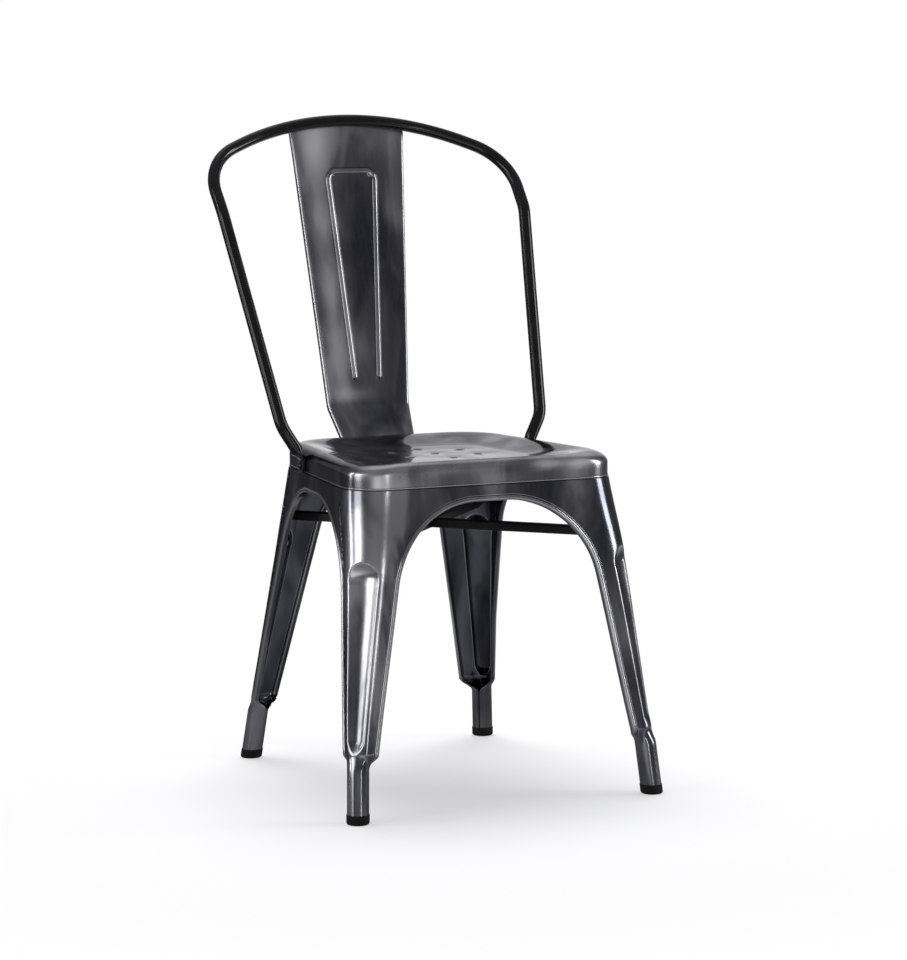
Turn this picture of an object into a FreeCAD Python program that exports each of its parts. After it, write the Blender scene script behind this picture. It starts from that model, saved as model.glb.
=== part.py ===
"""Bistro chair: four pressed legs, a dished seat, a bent tube back with a pressed splat."""
import FreeCAD
import Part
from FreeCAD import Vector
import math
import os

os.makedirs("parts", exist_ok=True)

# Sheet and tube stock
sheet = 1.2
tube_diameter = 16.0
tube_wall = 1.2

# Seat: outer size of the aprons at the seam, and the pan that drops inside them
seat_front_width = 378.0
seat_rear_width = 289.0
seat_depth = 333.0
seat_corner = 48.0
seam_height = 398.0
seat_rise = 32.0
seat_fit = 0.05
seat_lap = 9.0
rim_radius = 8.0
rim_width = 14.0
dish_slope = 22.0
dish_depth = 9.0
dish_corner_loss = 6.0
drain_diameter = 9.0
drain_circle = 110.0
drain_count = 6

# Feet: outer faces of the foot tubes at the floor
foot_front_width = 434.0
foot_rear_width = 368.0
foot_front_reach = 225.0
foot_rear_reach = 233.0
foot_diameter = 27.2
neck_top = 84.0
neck_bottom = 64.0
neck_inner_corner = 3.0
neck_lap = 3.0
neck_step = 0.3
slit_width = 1.5

# Caps pressed into the feet
cap_height = 12.0
cap_stem = 20.0
cap_edge = 1.6
cap_flange = 0.6
cap_clearance = 0.3

# Legs: width of each leg's two faces, at the neck and at a level below the seam
arm_level_drop = 120.0
front_arm_top = 60.4
front_arm_neck = 37.1
rear_arm_top = 62.4
rear_arm_neck = 40.7
side_front_arm_top = 42.1
side_front_arm_neck = 20.6
side_rear_arm_top = 48.6
side_rear_arm_neck = 21.0

# Arches between the legs: depth of the apron over the crown, and the shoulders' radii
front_apron = 19.0
side_apron = 23.0
rear_apron = 23.0
front_shoulder = 118.0
rear_shoulder = 78.0
side_front_shoulder = 135.0
side_rear_shoulder = 100.0
lip_depth = 8.0
side_joint = -6.0

# Flute pressed into the corner of every leg, from the neck up
flute_top_drop = 85.0
flute_top_ramp = 27.0
flute_bottom_ramp = 14.0
flute_share = 0.72
flute_dish = 4.5
flute_dish_bottom = 2.8

# Back: level above the seam at which the uprights and the splat are placed
back_level = 102.0

# Back hoop: two straight uprights, a set-back upper frame and flattened ends
upright_out = 30.8
upright_flare = 0.122
upright_set_back = 24.6
upright_lean = 0.425
bend_rise = 327.0
bend_radius = 60.0
upper_lean = 0.83
shoulder_out = 2.1
shoulder_rise = 85.0
shoulder_radius = 80.0
apex_rise = 198.0
apex_radius = 360.0
lower_bend_rise = 60.0
lower_bend_radius = 45.0
tab_from_rear = 105.5
tab_width = 22.0
tab_end_width = 17.0
tab_thickness = 5.0
tab_lift = 1.0
tab_length = 15.0
flatten_length = 14.0
flatten_offset = 0.28

# Rivets that hold the flattened ends to the seat's skirt
rivet_head = 9.0
rivet_shank = 5.0
rivet_dome = 2.4
rivet_upset = 1.0
rivet_fit = 0.1

# Splat: a channel of sheet from the seat's skirt up to the hoop
splat_set_back = 49.7
splat_behind_tube = 1.0
splat_half_width = 61.2
splat_flare = 0.0645
splat_knee_rise = 68.0
splat_toe_lift = 1.0
splat_toe_length = 9.0
splat_toe_half_width = 50.0
splat_edge_radius = 4.0
splat_edge_depth = 7.0
splat_weld_gap = 0.05
splat_top_drop = 6.5

# Bead pressed forward in the splat
bead_half_width = 17.4
bead_flare = 0.062
bead_from_top = 66.7
bead_above_knee = 37.0
bead_corner = 9.0
bead_radius = 4.2
bead_rise = 2.4

# Crossed braces under the seat, with their ends set in from the legs' corners
brace_drop = 74.0
brace_size = 12.0
brace_wall = 1.5
brace_front_inset = (41.0, 29.0)
brace_rear_inset = (26.0, 21.0)
brace_fit = 0.1

# How far cutting forms run past what they cut, and the share that keeps two arcs apart
beyond = 60.0
arc_share = 0.985

# Levels and places that follow from the sizes above
rim_height = seam_height + seat_rise
seat_inset = sheet + seat_fit
arm_level = seam_height - arm_level_drop
flute_top = seam_height - flute_top_drop
back_height = seam_height + back_level
bend_height = seam_height + bend_rise
lower_bend_height = seam_height + lower_bend_rise
tab_bottom = seam_height + tab_lift
tab_top = tab_bottom + tab_length
tab_y = seat_depth / 2 - tab_from_rear
splat_knee = seam_height + splat_knee_rise
splat_toe_bottom = seam_height + splat_toe_lift
splat_y = seat_depth / 2 + splat_set_back
brace_bottom = seam_height - brace_drop


def unit(vector):
    return Vector(vector) / vector.Length


def mirrored(shape):
    return shape.mirror(Vector(0, 0, 0), Vector(1, 0, 0))


def between(low, high, share):
    return low + (high - low) * share


def rounded_edges(points, radii, closed):
    """Straight runs through the points, with a tangent arc at each point that has a radius."""
    count = len(points)
    entries = []
    exits = []
    arcs = []
    for index, point in enumerate(points):
        radius = radii[index]
        is_end = not closed and index in (0, count - 1)
        if radius <= 0 or is_end:
            entries.append(point)
            exits.append(point)
            arcs.append(None)
            continue
        back = unit(points[index - 1] - point)
        ahead = unit(points[(index + 1) % count] - point)
        half_angle = back.getAngle(ahead) / 2
        reach = radius / math.tan(half_angle)
        start = point + back * reach
        end = point + ahead * reach
        centre = point + unit(back + ahead) * (radius / math.sin(half_angle))
        middle = centre + unit(point - centre) * radius
        entries.append(start)
        exits.append(end)
        arcs.append(Part.Arc(start, middle, end).toShape())
    edges = []
    for index in range(count):
        if arcs[index]:
            edges.append(arcs[index])
        following = (index + 1) % count
        if following or closed:
            run = entries[following] - exits[index]
            if run.Length > 0.001:
                edges.append(Part.LineSegment(exits[index], entries[following]).toShape())
    return edges


def rounded_wire(points, radii, closed=True):
    return Part.Wire(rounded_edges(points, radii, closed))


def prism(points, radii, direction):
    return Part.Face(rounded_wire(points, radii)).extrude(direction)


# The four sided frustum that the legs and aprons are pressed from

def corner_radius(height):
    return between(foot_diameter / 2, seat_corner, height / seam_height)


def front_face(height):
    return -between(foot_front_reach, seat_depth / 2, height / seam_height)


def rear_face(height):
    return between(foot_rear_reach, seat_depth / 2, height / seam_height)


def front_half_width(height):
    return between(foot_front_width, seat_front_width, height / seam_height) / 2


def rear_half_width(height):
    return between(foot_rear_width, seat_rear_width, height / seam_height) / 2


def side_slope(height):
    """How much the half width loses for each millimetre towards the rear."""
    loss = front_half_width(height) - rear_half_width(height)
    return loss / (rear_face(height) - front_face(height))


def side_at(y, height):
    """Half width of the chair's side face at this depth and height."""
    return front_half_width(height) - side_slope(height) * (y - front_face(height))


def plan_wire(height, inset, level=None, radius=None):
    """The rounded outline in plan, taken at a height, drawn inset and at a level of its own."""
    level = height if level is None else level
    radius = corner_radius(height) - inset if radius is None else radius
    front = front_face(height) + inset
    rear = rear_face(height) - inset
    side_inset = inset * math.sqrt(1 + side_slope(height) ** 2)
    front_half = side_at(front, height) - side_inset
    rear_half = side_at(rear, height) - side_inset
    points = [
        Vector(-front_half, front, level),
        Vector(front_half, front, level),
        Vector(rear_half, rear, level),
        Vector(-rear_half, rear, level),
    ]
    return rounded_wire(points, [radius] * 4)


def skirt_body(inset):
    return Part.makeLoft([plan_wire(0.0, inset), plan_wire(seam_height, inset)], True, True)


# Arched openings between the legs

def edge_at(top, neck, height):
    """Where a leg's straight edge lies at a height."""
    return between(neck, top, (height - neck_top) / (arm_level - neck_top))


def arch_outline(edges, crown, shoulders, grow, place):
    """Points and radii of an arched opening that starts below the floor, grown by a margin."""
    (left_top, left_neck), (right_top, right_neck) = edges
    low = -beyond
    top = crown + grow
    points = [
        place(edge_at(left_top, left_neck, low) - grow, low),
        place(edge_at(right_top, right_neck, low) + grow, low),
        place(edge_at(right_top, right_neck, top) + grow, top),
        place(edge_at(left_top, left_neck, top) - grow, top),
    ]
    left_shoulder, right_shoulder = shoulders
    return points, [0, 0, right_shoulder + grow, left_shoulder + grow]


def front_arch(grow):
    top = front_half_width(arm_level) - front_arm_top
    neck_edge = front_half_width(neck_top) - front_arm_neck
    edges = ((-top, -neck_edge), (top, neck_edge))
    shoulders = (front_shoulder, front_shoulder)
    start = front_face(0) - beyond
    crown = seam_height - front_apron
    points, radii = arch_outline(edges, crown, shoulders, grow, lambda x, z: Vector(x, start, z))
    return prism(points, radii, Vector(0, side_joint - start, 0))


def rear_arch(grow):
    top = rear_half_width(arm_level) - rear_arm_top
    neck_edge = rear_half_width(neck_top) - rear_arm_neck
    edges = ((-top, -neck_edge), (top, neck_edge))
    shoulders = (rear_shoulder, rear_shoulder)
    crown = seam_height - rear_apron
    points, radii = arch_outline(edges, crown, shoulders, grow, lambda x, z: Vector(x, side_joint, z))
    return prism(points, radii, Vector(0, rear_face(0) + beyond - side_joint, 0))


def side_arch(grow):
    front_edge = (
        front_face(arm_level) + side_front_arm_top,
        front_face(neck_top) + side_front_arm_neck,
    )
    rear_edge = (
        rear_face(arm_level) - side_rear_arm_top,
        rear_face(neck_top) - side_rear_arm_neck,
    )
    shoulders = (side_front_shoulder, side_rear_shoulder)
    reach = foot_front_width / 2 + beyond
    crown = seam_height - side_apron
    edges = (front_edge, rear_edge)
    points, radii = arch_outline(edges, crown, shoulders, grow, lambda y, z: Vector(-reach, y, z))
    return prism(points, radii, Vector(reach, 0, 0))


# Corners of the legs on the left

def corner_frame(is_front, height):
    """A left corner's virtual point, its inward bisector and half the angle between its faces."""
    slope = side_slope(height)
    along_side = unit(Vector(slope, 1, 0)) if is_front else unit(Vector(-slope, -1, 0))
    along_face = Vector(1, 0, 0)
    face = front_face(height) if is_front else rear_face(height)
    half = front_half_width(height) if is_front else rear_half_width(height)
    half_angle = along_face.getAngle(along_side) / 2
    return Vector(-half, face, height), unit(along_face + along_side), half_angle


def corner_centre(is_front, height, radius):
    """Centre of an arc of this radius that is tangent to both faces of a left corner."""
    point, inward, half_angle = corner_frame(is_front, height)
    return point + inward * (radius / math.sin(half_angle))


def foot_axis(is_front):
    low = corner_centre(is_front, 0.0, foot_diameter / 2)
    high = corner_centre(is_front, neck_top, foot_diameter / 2)
    return low, unit(high - low)


def foot_cylinder(is_front, radius, bottom, top):
    """A round bar on the foot's axis, cut level at both ends."""
    low, direction = foot_axis(is_front)
    bar = Part.makeCylinder(radius, top + 2 * beyond, low - direction * beyond, direction)
    side = 2 * foot_diameter
    slab = Part.makeBox(side, side, top - bottom, low + Vector(-side / 2, -side / 2, bottom))
    return bar.common(slab)


def neck_wire(is_front, height, inset, round_share):
    """Section of the neck, from the leg's folded corner to the round foot."""
    radius = foot_diameter / 2
    corner, _, _ = corner_frame(is_front, height)
    inward = 1 if is_front else -1
    arm = front_arm_neck if is_front else rear_arm_neck
    width = between(arm, foot_diameter, round_share)
    lean = inward * side_slope(height) * foot_diameter
    points = [
        corner,
        corner + Vector(width, 0, 0),
        corner + Vector(width + lean, inward * foot_diameter, 0),
        corner + Vector(lean, inward * foot_diameter, 0),
    ]
    middle = (points[0] + points[2]) * 0.5
    shrunk = []
    for point in points:
        step_x = inset if point.x < middle.x else -inset
        step_y = inset if point.y < middle.y else -inset
        shrunk.append(point + Vector(step_x, step_y, 0))
    outer = between(corner_radius(height), radius, round_share) - inset
    inner = between(neck_inner_corner, radius, round_share) - inset
    return rounded_wire(shrunk, [outer * arc_share] + [inner * arc_share] * 3)


def neck_and_foot(is_front):
    """The funnel from the folded leg to the foot tube, lapped inside the leg and over the tube."""
    def form(inset):
        folded = neck_wire(is_front, neck_top + neck_lap, inset + neck_step, 0.0)
        round_end = neck_wire(is_front, neck_bottom, inset - neck_step, 1.0)
        return Part.makeLoft([folded, round_end], True, True)
    tube = foot_cylinder(is_front, foot_diameter / 2, cap_height, neck_bottom + neck_lap)
    bore = foot_cylinder(is_front, foot_diameter / 2 - sheet, 0.0, neck_bottom + neck_lap)
    return form(0.0).fuse(tube).cut([form(sheet), bore])


# The flute that stiffens every leg

def flute_stations():
    """Height, tool radius and distance of the tool's centre from the corner arc's centre."""
    stations = []
    ends = (neck_top, flute_top)
    full = (neck_top + flute_bottom_ramp, flute_top - flute_top_ramp)
    for height in (ends[0], full[0], full[1], ends[1]):
        radius = corner_radius(height)
        share = (height - neck_top) / (flute_top - neck_top)
        dish = between(flute_dish_bottom, flute_dish, share)
        half_chord = flute_share * radius / math.sqrt(2)
        tool = (half_chord ** 2 + dish ** 2) / (2 * dish)
        if height in ends:
            offset = radius + tool
        else:
            offset = math.sqrt(radius ** 2 - half_chord ** 2) - dish + tool
        stations.append((height, tool, offset))
    return stations


def flute_tool(is_front, grow):
    """The form that presses the hollow flute into a left leg's corner."""
    wires = []
    for height, tool, offset in flute_stations():
        _, inward, _ = corner_frame(is_front, height)
        centre = corner_centre(is_front, height, corner_radius(height)) - inward * offset
        wires.append(Part.Wire([Part.makeCircle(tool + grow, centre, Vector(0, 0, 1))]))
    return Part.makeLoft(wires, True, True)


def foot_slit(is_front):
    """The gap where the sheet's edges meet on the inner side of the foot."""
    low = corner_centre(is_front, 0.0, foot_diameter / 2)
    high = corner_centre(is_front, neck_top, foot_diameter / 2)
    _, inward, _ = corner_frame(is_front, 0.0)
    across = Vector(-inward.y, inward.x, 0) * (slit_width / 2)
    corners = [low - across, low + across, high + across, high - across]
    return prism(corners, [0] * 4, inward * foot_diameter)


def quarter_box(is_front, low, high):
    """Everything on the left side, in front of or behind the side joint."""
    reach = foot_front_width + beyond
    start = -reach if is_front else side_joint
    length = reach + side_joint if is_front else reach
    return Part.makeBox(reach, length, high - low, Vector(-reach, start, low))


def left_leg(is_front, outer, inner, lip_inner):
    """One pressed leg with its two half aprons, turned-in edges, flute, neck and foot."""
    region = quarter_box(is_front, neck_top, seam_height)
    face_arch = front_arch if is_front else rear_arch
    face_opening = face_arch(0.0)
    side_opening = side_arch(0.0)
    skin = outer.cut(inner).common(region).cut(face_opening).cut(side_opening)
    band = outer.cut(lip_inner).common(region)
    face_lip = band.common(face_arch(sheet).cut(face_opening)).cut(side_opening)
    side_lip = band.common(side_arch(sheet).cut(side_opening)).cut(face_opening)
    flute_wall = flute_tool(is_front, sheet).common(outer).common(region)
    pressing = skin.fuse([face_lip, side_lip, flute_wall]).cut(flute_tool(is_front, 0.0))
    return pressing.fuse(neck_and_foot(is_front)).cut(foot_slit(is_front)).removeSplitter()


def foot_cap(is_front):
    """Cap under a foot, with a stem pushed into the tube, turned about the foot's axis."""
    radius = foot_diameter / 2
    stem_radius = radius - sheet - cap_clearance
    profile = Part.makePolygon([
        Vector(0, 0, -cap_edge),
        Vector(radius - 2 * cap_edge, 0, -cap_edge),
        Vector(radius + cap_flange, 0, cap_edge),
        Vector(radius + cap_flange, 0, cap_height + cap_edge),
        Vector(0, 0, cap_height + cap_edge),
        Vector(0, 0, -cap_edge),
    ])
    head = Part.Face(profile).revolve(Vector(0, 0, 0), Vector(0, 0, 1), 360)
    low, direction = foot_axis(is_front)
    head.Placement = FreeCAD.Placement(low, FreeCAD.Rotation(Vector(0, 0, 1), direction))
    side = 2 * foot_diameter
    slab = Part.makeBox(side, side, cap_height, low + Vector(-side / 2, -side / 2, 0))
    stem = foot_cylinder(is_front, stem_radius, cap_height - cap_edge, cap_height + cap_stem)
    return head.common(slab).fuse(stem).removeSplitter()


# Seat

def dish_tool(grow):
    """The hollow pressed into the top of the seat."""
    rim = seat_inset + rim_width - grow
    floor = rim + dish_slope
    corner = seat_corner - dish_corner_loss
    mid_level = rim_height - rim_radius / 4 - grow
    wires = [
        plan_wire(seam_height, rim, rim_height + sheet, corner),
        plan_wire(seam_height, rim + rim_radius / 2, mid_level, corner - rim_radius / 2),
        plan_wire(seam_height, floor, rim_height - dish_depth - grow, corner - dish_slope / 2),
    ]
    return Part.makeLoft(wires, True, True)


def seat_form(inset):
    """The seat's outer form, or with an inset its inner form."""
    level = seam_height - seat_lap
    top = rim_height - inset
    block = Part.Face(plan_wire(seam_height, seat_inset + inset, level)).extrude(Vector(0, 0, top - level))
    top_edges = [edge for edge in block.Edges if edge.BoundBox.ZMin > top - 0.01]
    return block.makeFillet(rim_radius - inset, top_edges).cut(dish_tool(inset))


def seat_pan(rivet_holes):
    pan = seat_form(0.0).cut(seat_form(sheet))
    places = [Vector(0, 0, seam_height)]
    for index in range(drain_count):
        angle = math.pi / 2 + 2 * math.pi * index / drain_count
        ring = Vector(math.cos(angle), math.sin(angle), 0) * (drain_circle / 2)
        places.append(ring + Vector(0, 0, seam_height))
    holes = [Part.makeCylinder(drain_diameter / 2, beyond, place) for place in places]
    return pan.cut(holes + rivet_holes)


# Back hoop

def upright_point(height):
    rise = height - back_height
    half_width = side_at(tab_y, seam_height) + upright_out + upright_flare * rise
    return Vector(half_width, tab_y + upright_set_back + upright_lean * rise, height)


def upper_point(x, rise):
    """A point in the set-back upper frame, by its distance up the slope from the bend."""
    slope_length = math.sqrt(1 + upper_lean ** 2)
    bend = upright_point(bend_height)
    return Vector(x, bend.y + rise * upper_lean / slope_length, bend.z + rise / slope_length)


def shoulder_half_width():
    return upright_point(bend_height).x + shoulder_out


def crest_point(x=0.0):
    """A point of the tube's centre line on the arc over the top of the hoop."""
    half_turn = math.atan((apex_rise - shoulder_rise) / shoulder_half_width())
    centre_rise = apex_rise - apex_radius / math.cos(half_turn)
    return upper_point(x, centre_rise + math.sqrt(apex_radius ** 2 - x ** 2))


def skirt_frame(height):
    """A point on the right of the seat's skirt beside the tab, and the skirt's outward normal."""
    slope = side_slope(seam_height)
    normal = unit(Vector(1, slope, 0))
    apron_face = Vector(side_at(tab_y, seam_height), tab_y, height)
    return apron_face - normal * seat_inset, normal


def hoop_path():
    face, normal = skirt_frame(tab_top + flatten_length)
    tab_middle = face + normal * (tab_thickness / 2)
    lower = upright_point(lower_bend_height)
    right = [
        tab_middle + Vector((lower.x - tab_middle.x) * flatten_offset, 0, 0),
        lower,
        upright_point(bend_height),
        upper_point(shoulder_half_width(), shoulder_rise),
    ]
    left = [Vector(-point.x, point.y, point.z) for point in reversed(right)]
    half = [0, lower_bend_radius, bend_radius, shoulder_radius]
    points = right + [upper_point(0, apex_rise)] + left
    return rounded_wire(points, half + [apex_radius] + half[::-1], closed=False)


def start_of(path):
    first = path.Edges[0]
    return path.Vertexes[0].Point, first.tangentAt(first.FirstParameter)


def tube_along(path, radius):
    start, direction = start_of(path)
    disc = Part.Face(Part.Wire([Part.makeCircle(radius, start, direction)]))
    return path.makePipe(disc)


def obround_wire(centre, along, across, width, thickness):
    points = [
        centre - along * (width / 2) - across * (thickness / 2),
        centre + along * (width / 2) - across * (thickness / 2),
        centre + along * (width / 2) + across * (thickness / 2),
        centre - along * (width / 2) + across * (thickness / 2),
    ]
    return rounded_wire(points, [thickness / 2] * 4)


def flattened_end(path):
    """The tube's right end squeezed to a tab that lies on the seat's skirt."""
    start, direction = start_of(path)
    top_face, normal = skirt_frame(tab_top)
    bottom_face, _ = skirt_frame(tab_bottom)
    along = Vector(-normal.y, normal.x, 0)
    half = normal * (tab_thickness / 2)
    mouth_radius = tube_diameter / 2 - tube_wall / 2
    mouth = Part.Wire([Part.makeCircle(mouth_radius, start + direction * tube_wall, direction)])
    pinch = top_face + half - Vector(0, 0, tube_wall)
    long_end = pinch + along * (tab_width / 2 - tube_wall)
    short_end = pinch + normal * (tab_thickness / 2 - tube_wall / 4)
    squeezed = Part.makeLoft([mouth, Part.Wire([Part.Ellipse(long_end, short_end, pinch).toShape()])], True, True)
    tab = Part.makeLoft([
        obround_wire(top_face + half, along, normal, tab_width, tab_thickness),
        obround_wire(bottom_face + half, along, normal, tab_end_width, tab_thickness),
    ], True, True)
    return squeezed.fuse(tab)


def back_hoop(seat_block, rivet_holes):
    path = hoop_path()
    tube = tube_along(path, tube_diameter / 2).cut(tube_along(path, tube_diameter / 2 - tube_wall))
    right_end = flattened_end(path)
    hoop = tube.fuse([right_end, mirrored(right_end)])
    return hoop.cut([seat_block] + rivet_holes).removeSplitter()


def rivet_frame():
    """Middle of the tab's outer face, where a rivet's head sits, and the outward normal."""
    face, normal = skirt_frame((tab_top + tab_bottom) / 2)
    return face + normal * tab_thickness, normal


def rivet_hole():
    outer_face, normal = rivet_frame()
    start = outer_face + normal * rivet_head
    return Part.makeCylinder(rivet_shank / 2 + rivet_fit, 2 * rivet_head + tab_thickness, start, normal * -1)


def right_rivet():
    """A domed rivet through the tab and the skirt, upset on the inside."""
    outer_face, normal = rivet_frame()
    sphere_radius = ((rivet_head / 2) ** 2 + rivet_dome ** 2) / (2 * rivet_dome)
    dome = Part.makeSphere(sphere_radius, outer_face + normal * (rivet_dome - sphere_radius))
    head = dome.common(Part.makeCylinder(rivet_head, rivet_head, outer_face, normal))
    grip = tab_thickness + sheet
    inward = normal * -1
    shank = Part.makeCylinder(rivet_shank / 2, grip + rivet_dome, outer_face, inward)
    upset = Part.makeCylinder(rivet_shank / 2 + rivet_upset, rivet_dome, outer_face + inward * grip, inward)
    return head.fuse([shank, upset]).removeSplitter()


# Splat

def splat_lean():
    """The lean that brings the splat's face from its place over the seat to the hoop's crest."""
    crest = crest_point()
    return (crest.y + splat_behind_tube - splat_y) / (crest.z - back_height)


def splat_face(height):
    """Depth of the splat's front face and its half width at a height."""
    rise = height - back_height
    return splat_y + splat_lean() * rise, splat_half_width + splat_flare * rise


def splat_wire(height, y, half_width):
    """Plan section of the splat: a flat panel with both edges turned back."""
    outer = splat_edge_radius
    inner = splat_edge_radius - sheet
    back = y + splat_edge_depth
    points = [
        Vector(-half_width, y, height),
        Vector(half_width, y, height),
        Vector(half_width, back, height),
        Vector(half_width - sheet, back, height),
        Vector(half_width - sheet, y + sheet, height),
        Vector(-half_width + sheet, y + sheet, height),
        Vector(-half_width + sheet, back, height),
        Vector(-half_width, back, height),
    ]
    return rounded_wire(points, [outer, outer, 0, 0, inner, inner, 0, 0])


def bead_path():
    slope_length = math.sqrt(1 + splat_lean() ** 2)
    into_sheet = Vector(0, 1, -splat_lean()) / slope_length * (bead_radius - bead_rise)
    top = crest_point().z - bead_from_top
    bottom = splat_knee + bead_above_knee

    def place(side, height):
        half = bead_half_width + bead_flare * (height - back_height)
        return Vector(side * half, splat_face(height)[0], height) + into_sheet
    points = [place(-1, bottom), place(-1, top), place(1, top), place(1, bottom)]
    return rounded_wire(points, [0, bead_corner, bead_corner, 0], closed=False)


def bead_bar(path, radius):
    """A round bar along the bead with half ball ends."""
    start, direction = start_of(path)
    end = Part.makeSphere(radius, start, direction * -1, 0, 90, 360)
    return tube_along(path, radius).fuse([end, mirrored(end)])


def front_slab():
    """The space in front of the middle of the splat's sheet, for keeping the raised bead."""
    knee_y, _ = splat_face(splat_knee)
    size = crest_point().z
    slab = Part.makeBox(size, beyond + sheet / 2, size)
    slab.translate(Vector(-size / 2, -beyond, 0))
    slab.rotate(Vector(0, 0, 0), Vector(1, 0, 0), -math.degrees(math.atan(splat_lean())))
    slab.translate(Vector(0, knee_y, splat_knee))
    return slab


def above_crest():
    """All above an arc that runs a little under the tube's centre line over the splat."""
    reach = splat_face(crest_point().z)[1] + beyond
    sides = [crest_point(-reach), crest_point(), crest_point(reach)]
    low = [Vector(point.x, 0, point.z - splat_top_drop) for point in sides]
    high = low[1].z + beyond
    arc = Part.Arc(low[0], low[1], low[2]).toShape()
    corners = [low[2], Vector(reach, 0, high), Vector(-reach, 0, high), low[0]]
    sides = Part.makePolygon(corners)
    return Part.Face(Part.Wire([arc] + sides.Edges)).extrude(Vector(0, splat_y + seat_depth, 0))


def back_splat(tube_clear):
    toe_y = seat_depth / 2 - seat_inset
    knee_y, knee_half = splat_face(splat_knee)
    top = crest_point().z
    top_y, top_half = splat_face(top)
    stations = [
        (splat_toe_bottom, toe_y, splat_toe_half_width),
        (splat_toe_bottom + splat_toe_length, toe_y, splat_toe_half_width),
        (splat_knee, knee_y, knee_half),
        (top, top_y, top_half),
    ]
    panel = Part.makeLoft([splat_wire(*station) for station in stations], True, True)
    path = bead_path()
    bead = bead_bar(path, bead_radius).common(front_slab())
    splat = panel.fuse(bead).cut(bead_bar(path, bead_radius - sheet))
    return splat.cut([above_crest(), tube_clear]).removeSplitter()


# Braces

def brace_channel(start, end):
    """An inverted channel between two plan points, run past both."""
    run = end - start
    stretch = unit(run) * beyond
    across = unit(Vector(-run.y, run.x, 0))
    foot = start - stretch
    half = brace_size / 2
    hollow = half - brace_wall
    tall = Vector(0, 0, brace_size)
    under = Vector(0, 0, brace_size - brace_wall)
    points = [
        foot - across * half,
        foot - across * half + tall,
        foot + across * half + tall,
        foot + across * half,
        foot + across * hollow,
        foot + across * hollow + under,
        foot - across * hollow + under,
        foot - across * hollow,
    ]
    outer = 2 * brace_wall
    return prism(points, [0, outer, outer, 0, 0, brace_wall, brace_wall, 0], run + stretch * 2)


def braces(inner):
    """Two channels that cross with a half lap and end on the legs' inner faces."""
    front = Vector(front_half_width(brace_bottom) - brace_front_inset[0],
                   front_face(brace_bottom) + brace_front_inset[1], brace_bottom)
    rear = Vector(brace_rear_inset[0] - rear_half_width(brace_bottom),
                  rear_face(brace_bottom) - brace_rear_inset[1], brace_bottom)
    first = brace_channel(front, rear).common(inner)
    crossing = between(front.y, rear.y, front.x / (front.x - rear.x))
    run = rear - front
    angle = math.degrees(math.atan2(run.y, run.x))
    length = 3 * brace_size
    width = brace_size + 2 * brace_fit

    def notch(turn, low, high):
        box = Part.makeBox(length, width, high - low, Vector(-length / 2, -width / 2, low))
        box.rotate(Vector(0, 0, 0), Vector(0, 0, 1), turn)
        box.translate(Vector(0, crossing, 0))
        return box
    middle = brace_bottom + brace_size / 2
    lower = first.cut(notch(-angle, middle, brace_bottom + beyond))
    upper = mirrored(first).cut(notch(angle, brace_bottom - beyond, middle))
    return lower, upper


outer_body = skirt_body(0.0)
inner_body = skirt_body(sheet)
lip_body = skirt_body(lip_depth)
hole = rivet_hole()
holes = [hole, mirrored(hole)]
rivet = right_rivet()
brace_lower, brace_upper = braces(inner_body)

nodes = {
    "seat_pan": seat_pan(holes),
    "back_hoop": back_hoop(seat_form(0.0), holes),
    "back_splat": back_splat(tube_along(hoop_path(), tube_diameter / 2 + splat_weld_gap)),
    "hoop_rivets": Part.makeCompound([rivet, mirrored(rivet)]),
    "brace_lower": brace_lower,
    "brace_upper": brace_upper,
}
for is_front, place in ((True, "front"), (False, "rear")):
    leg = left_leg(is_front, outer_body, inner_body, lip_body)
    cap = foot_cap(is_front)
    nodes["leg_" + place + "_left"] = leg
    nodes["leg_" + place + "_right"] = mirrored(leg)
    nodes["foot_cap_" + place + "_left"] = cap
    nodes["foot_cap_" + place + "_right"] = mirrored(cap)

# The origin lies on the floor, midway between the front of the feet and the back of the hoop
middle_y = (crest_point().y + tube_diameter / 2 - foot_front_reach) / 2
for name, shape in nodes.items():
    shape.translate(Vector(0, -middle_y, 0))
    solids = len(shape.Solids)
    print(name, "solids", solids, "volume", round(shape.Volume), "valid", shape.isValid())
    shape.exportStep("parts/" + name + ".step")
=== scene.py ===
# %% [markdown]
# # Metal bistro chair
# The chair is built over a fixed frame from the construction model. Every visible piece is made here as a
# fine mesh: four pressed legs, a dished seat, a bent tube hoop with squeezed ends, a splat with a raised bead,
# crossed braces, rivets and rubber caps. All sizes are in millimetres, measured from the middle of the seat
# on the floor, with the front towards -Y, and go over into the frame's metres in one place.

# %% Tools and the fixed frame
import math
import bmesh
import bpy
import numpy as np
from mathutils import Matrix, Vector


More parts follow.
